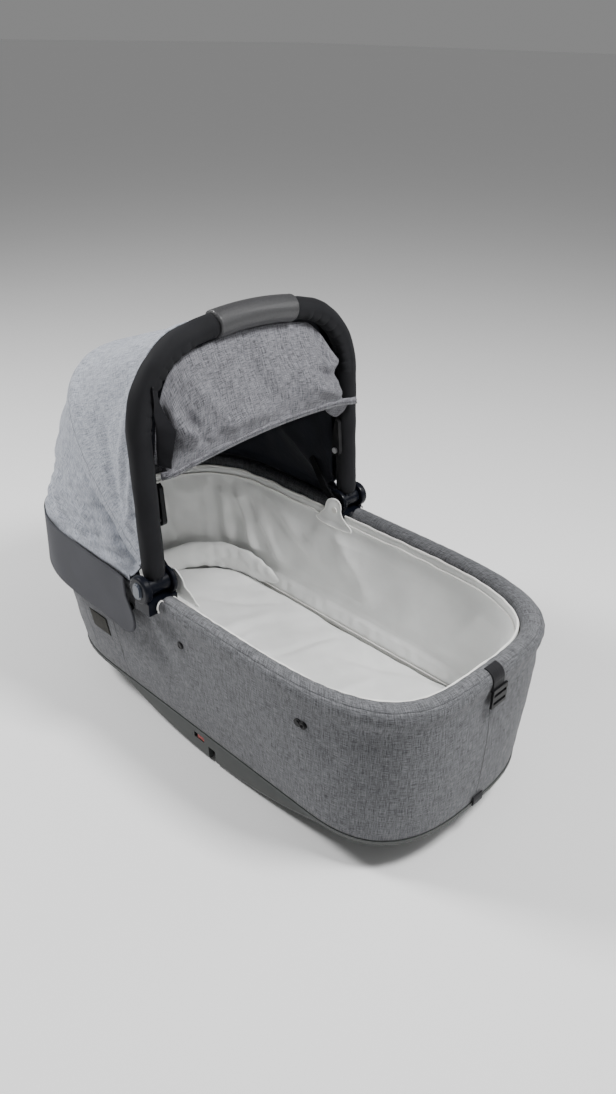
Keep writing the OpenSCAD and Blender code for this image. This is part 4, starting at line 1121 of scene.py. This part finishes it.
def leaning(x, y, z):
    """Leans a point of the upright handle back about the hinge axis."""
    h, d = z - HINGE_Z, y - HINGE_Y
    return np.stack([x, HINGE_Y + h * math.sin(lean) + d * math.cos(lean),
                     HINGE_Z + h * math.cos(lean) - d * math.sin(lean)], -1)


def brim_line(x):
    """Height and place of the brim: an arch, a little lower at the left."""
    z = visor_top_z - drop_at_brim + 0.016 * (1 - (x / brim_half) ** 2) + 0.010 * x / brim_half
    y = HINGE_Y - 0.026 - 0.004 * np.cos(x / brim_half * 1.4) + 0.003 * (x / brim_half) ** 2
    return y, z


def visor_upper(x):
    """Height of the panel's upper edge under the arch: a superellipse, cut off by the curve of the grip."""
    u = np.clip(np.abs(x) / 0.1855, 0, 1)
    arch = HINGE_Z + (visor_top_z - HINGE_Z) * (1 - u**4.2) ** (1 / 4.2)
    return np.minimum(arch, visor_top_z - x * x / 1.12)


x = np.linspace(-brim_half, brim_half, 110)[:, None]
down = np.linspace(0, 1, 56)[None]
brim_y, brim_z = brim_line(x)
upper = np.maximum(visor_upper(x), brim_z + 0.010)
z = upper + (brim_z - upper) * down
y = HINGE_Y + 0.001 + (brim_y - HINGE_Y - 0.001) * down - 0.015 * np.sin(np.pi * down**1.3)
side_pull = np.clip((np.abs(x) - 0.150) / 0.034, 0, 1) ** 2
y = y + 0.030 * side_pull * np.sin(np.pi * np.clip(down * 1.02, 0, 1)) * np.ones_like(x)
pinch = 1 - 0.055 * np.sin(np.pi * down**0.85) * (np.abs(x) / brim_half) ** 3
visor_grid = leaning(x * pinch, y, z)
front_of = facing(grid_normals(visor_grid), (55, 28), (0, -1, 0))
calm = np.sin(np.pi * np.clip(down * 0.94 + 0.03, 0, 1)) * np.clip((brim_half - np.abs(x)) / 0.02, 0, 1)
move = calm * (ripples(visor_grid * np.array([1.4, 1, 0.6]), 0.0042, 0.10, 71)
               + ripples(visor_grid, 0.0020, 0.042, 72))
for start, stop, wide, tall in [
        ((0.150, 0.05, 0.610), (0.172, 0.02, 0.510), 0.009, 0.013),
        ((0.110, 0.05, 0.560), (0.178, 0.03, 0.530), 0.008, -0.010),
        ((0.135, 0.05, 0.625), (0.150, 0.03, 0.560), 0.007, -0.009),
        ((0.090, 0.05, 0.540), (0.165, 0.03, 0.505), 0.008, 0.008),
        ((-0.165, 0.05, 0.585), (-0.135, 0.03, 0.505), 0.009, 0.012),
        ((-0.150, 0.05, 0.560), (-0.105, 0.03, 0.490), 0.009, -0.010),
        ((-0.175, 0.05, 0.540), (-0.100, 0.03, 0.510), 0.009, 0.008),
        ((-0.120, 0.05, 0.590), (-0.060, 0.03, 0.500), 0.013, 0.007),
        ((-0.100, 0.05, 0.525), (0.02, 0.03, 0.520), 0.010, 0.007),
        ((-0.02, 0.05, 0.610), (0.03, 0.03, 0.500), 0.018, -0.005),
        ((0.06, 0.05, 0.600), (0.10, 0.03, 0.500), 0.016, 0.005)]:
    shadow = visor_grid * np.array([1, 0, 1.0])
    start, stop = np.multiply(start, [1, 0, 1]), np.multiply(stop, [1, 0, 1])
    move = move + calm * fold(shadow, start, stop, wide, tall * 1.35)
visor_grid = visor_grid + front_of * move[..., None]
visor = surface("visor_cloth", visor_grid, shaded_visor_melange, flip=True)
thicken(visor, 0.0014, lined=True)
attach(visor, "visor")
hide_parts("visor_panel")
print("visor", visor_grid.shape, "from", round(visor_top_z, 3))

# %% [markdown]
# The brim is a flat stiffener wrapped in the same cloth, with a cord of piping along its lower
# edge. It is an oval bar along the brim line, and the piping is a thin tube just below it.

# %% Visor brim
bx = np.linspace(-brim_half - 0.001, brim_half + 0.014, 96)
by, bz = brim_line(bx)
curl_end = -0.006 * np.clip((bx - 0.150) / 0.036, 0, 1) ** 2
curl_start = 0.010 * np.clip((-bx - 0.160) / 0.026, 0, 1) ** 2
edge_y = by + curl_end + curl_start
brim_path = leaning(bx, edge_y, bz)
brim = tube("visor_brim_bar", brim_path, 0.0021, 20, (0, 1.0, 0), shaded_visor_melange)
brim_low = leaning(bx, edge_y - 0.0004, bz - 0.0048)
flat_bar = np.stack([brim_path + (brim_low - brim_path) * f + np.array([0, d, 0]) for f, d in
                     ((-0.9, -0.0012), (1.0, -0.0012), (1.0, 0.0012), (-0.9, 0.0012))], 1)
brim_strip = surface("visor_brim_strip", flat_bar, shaded_visor_melange, across=True)
piping_path = leaning(bx, edge_y - 0.0008, bz - 0.0052)
brim_cord = tube("visor_brim_piping", piping_path, 0.0017, 12, (0, 1.0, 0), shaded_rim_melange)
for piece in (brim, brim_strip, brim_cord):
    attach(piece, "visor")
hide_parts("visor_brim")
print("brim", round(float(run_along(brim_path)[-1]), 3), "m long")

# %% [markdown]
# Two small pieces close the visor at its sides. At the left a near-black sheet runs from the leg to
# the panel: painted shadow for the hollow there; it is widest at half height, and its edge wavers.
# At the right the brim's cloth turns under and hangs down as a short flap behind the edge.

# %% Visor painted-shadow sheet and flap
high_to_low = np.linspace(0.600, 0.490, 40)
across = np.linspace(0, 1, 16)[None]
rise = (high_to_low - 0.490) / 0.110
breadth = 0.003 + 0.017 * np.sin(np.pi * np.clip(rise * 0.9 + 0.05, 0, 1)) ** 1.2
breadth = (breadth + ripples(np.stack([rise] * 3, 1), 0.0008, 0.6, 75))[:, None]
shadow_sheet_x = -0.1885 + breadth * across
panel_y = np.interp(high_to_low, visor_grid[6, ::-1, 2], visor_grid[6, ::-1, 1])[:, None]
shadow_sheet_y = 0.040 + (panel_y - 0.011 - 0.040) * across**0.7
shadow_sheet_grid = np.stack([shadow_sheet_x, shadow_sheet_y, high_to_low[:, None] * np.ones_like(across)], -1)
shadow_sheet_grid[..., 1] += ripples(shadow_sheet_grid, 0.0012, 0.03, 76)
shadow_sheet = surface("visor_shadow_sheet", shadow_sheet_grid, shadow_sheet_cloth, flip=True)
thicken(shadow_sheet, 0.0010, 0.0)
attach(shadow_sheet, "visor")

flap_x = np.linspace(0.150, 0.197, 24)[:, None]
flap_y, flap_z = brim_line(flap_x)
fall = np.linspace(0, 1, 14)[None]
depth = 0.006 + 0.020 * np.sin(np.pi * (flap_x - 0.150) / 0.060) ** 0.7
flap_grid = leaning(flap_x * np.ones_like(fall) - 0.004 * fall, flap_y + 0.001 + 0.018 * fall,
                    flap_z - 0.004 - depth * fall)
flap_grid += grid_normals(flap_grid) * ripples(flap_grid, 0.0012, 0.03, 77)[..., None]
flap = surface("visor_flap", flap_grid, shaded_visor_melange)
thicken(flap, 0.0012, 0.0)
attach(flap, "visor")
print("gusset and flap")

# %% [markdown]
# ## The handle
# The arch is a tube with a padded sleeve on each side and a leather grip on top. The path is
# two straight legs, two corner arcs and one long flat arc, joined so that their slopes agree.
# The radius of the sleeve is modulated: small gathers on the inner side of each corner, and a
# narrowing at both ends.

# %% Arch path
LEG, CORNER, TOP = 0.205, 0.118, 0.560
arch_z = HINGE_Z + 0.355
joint_angle = math.acos((LEG - CORNER) / (TOP - CORNER))
corner_z = arch_z - TOP + (TOP - CORNER) * math.sin(joint_angle)


def arch_path(count, leg_foot):
    """Half of the arch from the foot of a leg to its middle: leg, corner arc, top arc."""
    leg = np.stack([np.full(60, LEG), np.linspace(leg_foot, corner_z, 60, endpoint=False)], 1)
    a = np.linspace(0, joint_angle, 80, endpoint=False)
    corner = np.stack([LEG - CORNER + CORNER * np.cos(a), corner_z + CORNER * np.sin(a)], 1)
    b = np.linspace(joint_angle, np.pi / 2, 60)
    top = np.stack([TOP * np.cos(b), arch_z - TOP + TOP * np.sin(b)], 1)
    return evenly(np.vstack([leg, corner, top]), count)


sleeve_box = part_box("handle_sleeve_left")
half_arch = arch_path(500, sleeve_box[0].z)
whole = np.vstack([half_arch * np.array([-1.0, 1.0]), half_arch[-2::-1]])
arch = leaning(whole[:, 0], np.full(len(whole), HINGE_Y), whole[:, 1])
arch_run = run_along(arch)
plane = np.array([0, -math.cos(lean), math.sin(lean)])
grip_low, grip_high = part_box("grip_cover")
print("arch runs", round(float(arch_run[-1]), 3), "corner at z", round(corner_z, 4))


def part_of_arch(start_x, stop_x, count):
    """Evenly spaced stretch of the arch between two places across the cot; None is a leg's foot."""
    order = arch[:, 0]
    top = slice(300, len(arch) - 300)
    start = 0 if start_x is None else float(np.interp(start_x, order[top], arch_run[top]))
    stop = arch_run[-1] if stop_x is None else float(np.interp(stop_x, order[top], arch_run[top]))
    at = np.linspace(start, stop, count)
    return np.stack([np.interp(at, arch_run, arch[:, k]) for k in range(3)], 1)


# %% Handle sleeves
SLEEVE_RADIUS = 0.0168


def sleeve(name, path, foot_first):
    """Padded sleeve: one radius, a thinner cuff at each end, gathers where the corner turns in."""
    grid_run = run_along(path)
    a = np.linspace(0, 2 * np.pi, 56, endpoint=False)[None]
    turn = np.gradient(np.unwrap(np.arctan2(np.gradient(path[:, 2]), np.gradient(path[:, 0]))),
                       grid_run)
    bend = np.clip(np.abs(turn) * CORNER, 0, 1)[:, None]
    r = np.full((len(path), 56), SLEEVE_RADIUS)
    from_foot = grid_run if foot_first else grid_run[-1] - grid_run
    from_grip = grid_run[-1] - from_foot
    r -= 0.0016 * np.exp(-from_foot / 0.004)[:, None]
    r -= 0.0012 * np.exp(-from_grip / 0.003)[:, None]
    ring_points = tube_grid(path, r, 56, plane)
    ahead = leaning(np.zeros(1), np.full(1, HINGE_Y - 1.0), np.full(1, HINGE_Z))[0] - leaning(
        np.zeros(1), np.full(1, HINGE_Y), np.full(1, HINGE_Z))[0]
    centre = leaning(np.zeros(1), np.full(1, HINGE_Y), np.full(1, arch_z - 0.20))[0]
    inward = centre - path
    inward /= np.linalg.norm(inward, axis=1, keepdims=True)
    spoke = (ring_points - path[:, None]) / SLEEVE_RADIUS
    inner_front = np.einsum("ijk,ik->ij", spoke, inward) * 0.75 + spoke @ ahead * 0.66
    lip = np.clip(inner_front, 0, 1) ** 14
    scallop = np.abs(np.sin(grid_run * np.pi / 0.0185 + 0.5 * np.sin(grid_run * 40)))[:, None] ** 0.7
    r += lip * (0.0004 + bend * 0.0030 * scallop)
    hollow = np.exp(-((inner_front - 0.80) / 0.09) ** 2)
    r -= hollow * bend * 0.0009 * (1.3 - scallop)
    path_grid = tube_grid(path, r, 56, plane)
    path_grid += grid_normals(path_grid) * ripples(path_grid, 0.00035, 0.03, 81)[..., None]
    ends = [path[:1, None] + (path_grid[:1] - path[:1, None]) * 0.66,
            path[-1:, None] + (path_grid[-1:] - path[-1:, None]) * 0.66]
    grid = np.concatenate([ends[0], path_grid, ends[1]])
    made = surface(name, grid, sleeve_cloth, across=True)
    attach(made, "handle")
    return made


left_sleeve = sleeve("sleeve_left", part_of_arch(None, grip_low.x - 0.001, 300), True)
right_sleeve = sleeve("sleeve_right", part_of_arch(grip_high.x + 0.001, None, 300), False)
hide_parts("handle_sleeve_left")
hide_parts("handle_sleeve_right")
print("sleeves made")

# %% [markdown]
# The grip is a leather cover, thicker than the sleeve, closed with one lengthwise seam. Its two
# edges are rolled. The seam is a groove with a raised lip beside it.

# %% Grip
grip_path = part_of_arch(grip_low.x, grip_high.x, 150)
grip_run = run_along(grip_path)
a = np.linspace(0, 2 * np.pi, 72, endpoint=False)[None]
from_end = np.minimum(grip_run, grip_run[-1] - grip_run)[:, None]
r = 0.0200 + 0.0006 * np.exp(-((from_end - 0.0022) / 0.0014) ** 2) - 0.0026 * np.exp(-from_end / 0.0012)
seam_at = np.radians(235)
r = r - 0.0011 * np.exp(-((a - seam_at) / 0.045) ** 2)
r = r + 0.0005 * np.exp(-((a - seam_at - 0.13) / 0.07) ** 2)
grip_grid = tube_grid(grip_path, r * np.ones((len(grip_path), 72)), 72, plane)
caps = [grip_path[:1, None] + (grip_grid[:1] - grip_path[:1, None]) * 0.80,
        grip_path[-1:, None] + (grip_grid[-1:] - grip_path[-1:, None]) * 0.80]
grip = surface("grip_leather", np.concatenate([caps[0], grip_grid, caps[1]]), grip_leather, across=True)
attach(grip, "handle")
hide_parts("grip_cover")
print("grip", round(float(grip_run[-1]), 3), "m long")

# %% [markdown]
# ## Webbing and labels
# A loop of black webbing lies over the rim at the foot end and hangs down to a plastic slider;
# a small tab sticks out of the base seam below it. The loop is a strip carried round the roll:
# an arc, then a straight fall. The label on the side is a blank patch of woven cloth.

# %% Strap, tab and label
strap_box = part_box("foot_strap")
arc = np.radians(np.linspace(86, 178, 40))
radius = strap_box[1].z - RIM - 0.0008
loop = np.concatenate([np.stack([-foot_top + radius * np.cos(arc), RIM + radius * np.sin(arc)], 1),
                       np.stack([np.full(24, -foot_top - radius),
                                 np.linspace(RIM - 0.001, strap_box[0].z, 24)], 1)])
loop = evenly(loop, 90)
width = np.linspace(strap_box[0].x, strap_box[1].x, 24)
strap_grid = np.stack([np.broadcast_to(width[None], (90, 24)),
                       np.broadcast_to(loop[:, :1], (90, 24)),
                       np.broadcast_to(loop[:, 1:], (90, 24))], -1).copy()
strap = surface("foot_strap_webbing", strap_grid, webbing)
thicken(strap, 0.0015, 0.0)
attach(strap, "tub")
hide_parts("foot_strap")

tab_low, tab_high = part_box("foot_tab")
tz = smooth([(0, tab_high.z), (-0.0012, (tab_low.z + tab_high.z) / 2), (-0.0004, tab_low.z)], 14)
tx = np.linspace(tab_low.x, tab_high.x, 14)
tab_grid = np.stack([np.broadcast_to(tx[:, None], (14, 14)),
                     np.broadcast_to(tab_low.y + 0.0012 + tz[None, :, 0], (14, 14)),
                     np.broadcast_to(tz[None, :, 1], (14, 14))], -1).copy()
foot_tab = surface("foot_tab_webbing", tab_grid, webbing)
thicken(foot_tab, 0.0022, 0.0)
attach(foot_tab, "tub")
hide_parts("foot_tab")

label_finish = woven("label_weave", (0.018, 0.0175, 0.0155), (0.052, 0.050, 0.044), streak=0.7, sheen=0.02)
label_low, label_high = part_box("side_label")
heights = np.linspace(label_low.z + 0.0005, label_high.z - 0.0005, 16)
label_shift = 0.034
label_middle = 0.153
spread = np.linspace(share_at(label_high.y + label_shift, -1, label_middle),
                     share_at(label_low.y + label_shift, -1, label_middle), 22)
face = np.interp(heights, cover_section[:60, 0], cover_section[:60, 1])
label_grid = np.stack([ring(h, o + 0.0014, spread) for h, o in zip(heights, face)], 1)
label = surface("side_label_cloth", label_grid, label_finish)
thicken(label, 0.0009, 0.0)
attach(label, "tub")
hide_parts("side_label")
print("strap, tab and label")

# %% [markdown]
# In a window of the rocker a red block shows that the latch is home. It rides on the latch and
# is shorter than the window, so that it can travel. A box is a grid too: four corners swept
# along a line, closed at both ends.

# %% Latch markers
for side in (-1, 1):
    name = "left" if side < 0 else "right"
    flag_low, flag_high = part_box("latch_flag_" + name)
    centre_y, centre_z = (flag_low.y + flag_high.y) / 2, (flag_low.z + flag_high.z) / 2
    corners = np.array([(-0.0118, -0.0043), (0.0058, -0.0043), (0.0058, 0.0043), (-0.0118, 0.0043)])
    inset = np.array([0.02, 1.0, 1.0, 0.9, 0.02])
    depth_at = np.array([0.1711, 0.1711, 0.1822, 0.1830, 0.1830])
    middle = corners.mean(0)
    shape = middle + (corners[None] - middle) * inset[:, None, None]
    block = np.concatenate([np.repeat(side * depth_at[:, None, None], 4, 1),
                            shape + np.array([centre_y, centre_z])], -1)
    marker = surface("latch_marker_" + name, block, red_plastic, across=True, flip=side > 0, shade=False)
    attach(marker, "latch_" + name)
    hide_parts("latch_flag_" + name)
print("two markers")

# %% [markdown]
# ## Floor and light
# A wide pale floor, one soft light from behind on the left, one from the front and a weak wide
# one from the right keep the shadows soft.

# %% Stage
def flat_finish(name, color):
    """An even, matt finish with a very slight drift of tone."""
    made = Finish(name, 0.9)
    tone = made.noise((3, 3, 3), "Object", detail=2)
    made.feed("Base Color", made.blend(tone, tuple(c * 0.985 for c in color), color))
    return made.material


floor_grid = np.stack(np.meshgrid(np.linspace(-60, 60, 8), np.linspace(-60, 60, 8), [0.0],
                                  indexing="ij"), -1)[:, :, 0]
floor = surface("floor", floor_grid, flat_finish("pale_floor", (0.92, 0.92, 0.92)))


def softbox(name, place, aim, size, power):
    """Square area light at a place, turned towards a point."""
    data = bpy.data.lights.new(name, "AREA")
    data.size = size
    data.energy = power
    made = bpy.data.objects.new(name, data)
    back = np.array(place, float) - np.array(aim, float)
    back /= np.linalg.norm(back)
    right = np.cross([0.0, 0.02, 1.0], back)
    right /= np.linalg.norm(right)
    turn = np.eye(4)
    turn[:3, :3] = np.stack([right, np.cross(back, right), back], 1)
    turn[:3, 3] = place
    made.matrix_world = Matrix(turn.tolist())
    bpy.context.scene.collection.objects.link(made)


softbox("key", (-1.1, 1.5, 2.1), (0, 0.0, 0.3), 0.6, 70)
softbox("top", (0.3, -1.2, 2.2), (0, 0.0, 0.2), 0.5, 60)
softbox("side", (2.2, -1.4, 1.6), (0, -0.1, 0.2), 1.2, 14)
world = bpy.data.worlds.new("world")
world.use_nodes = True
world.node_tree.nodes["Background"].inputs["Color"].default_value = (1, 1, 1, 1)
world.node_tree.nodes["Background"].inputs["Strength"].default_value = 0.25
bpy.context.scene.world = world
print("stage set")
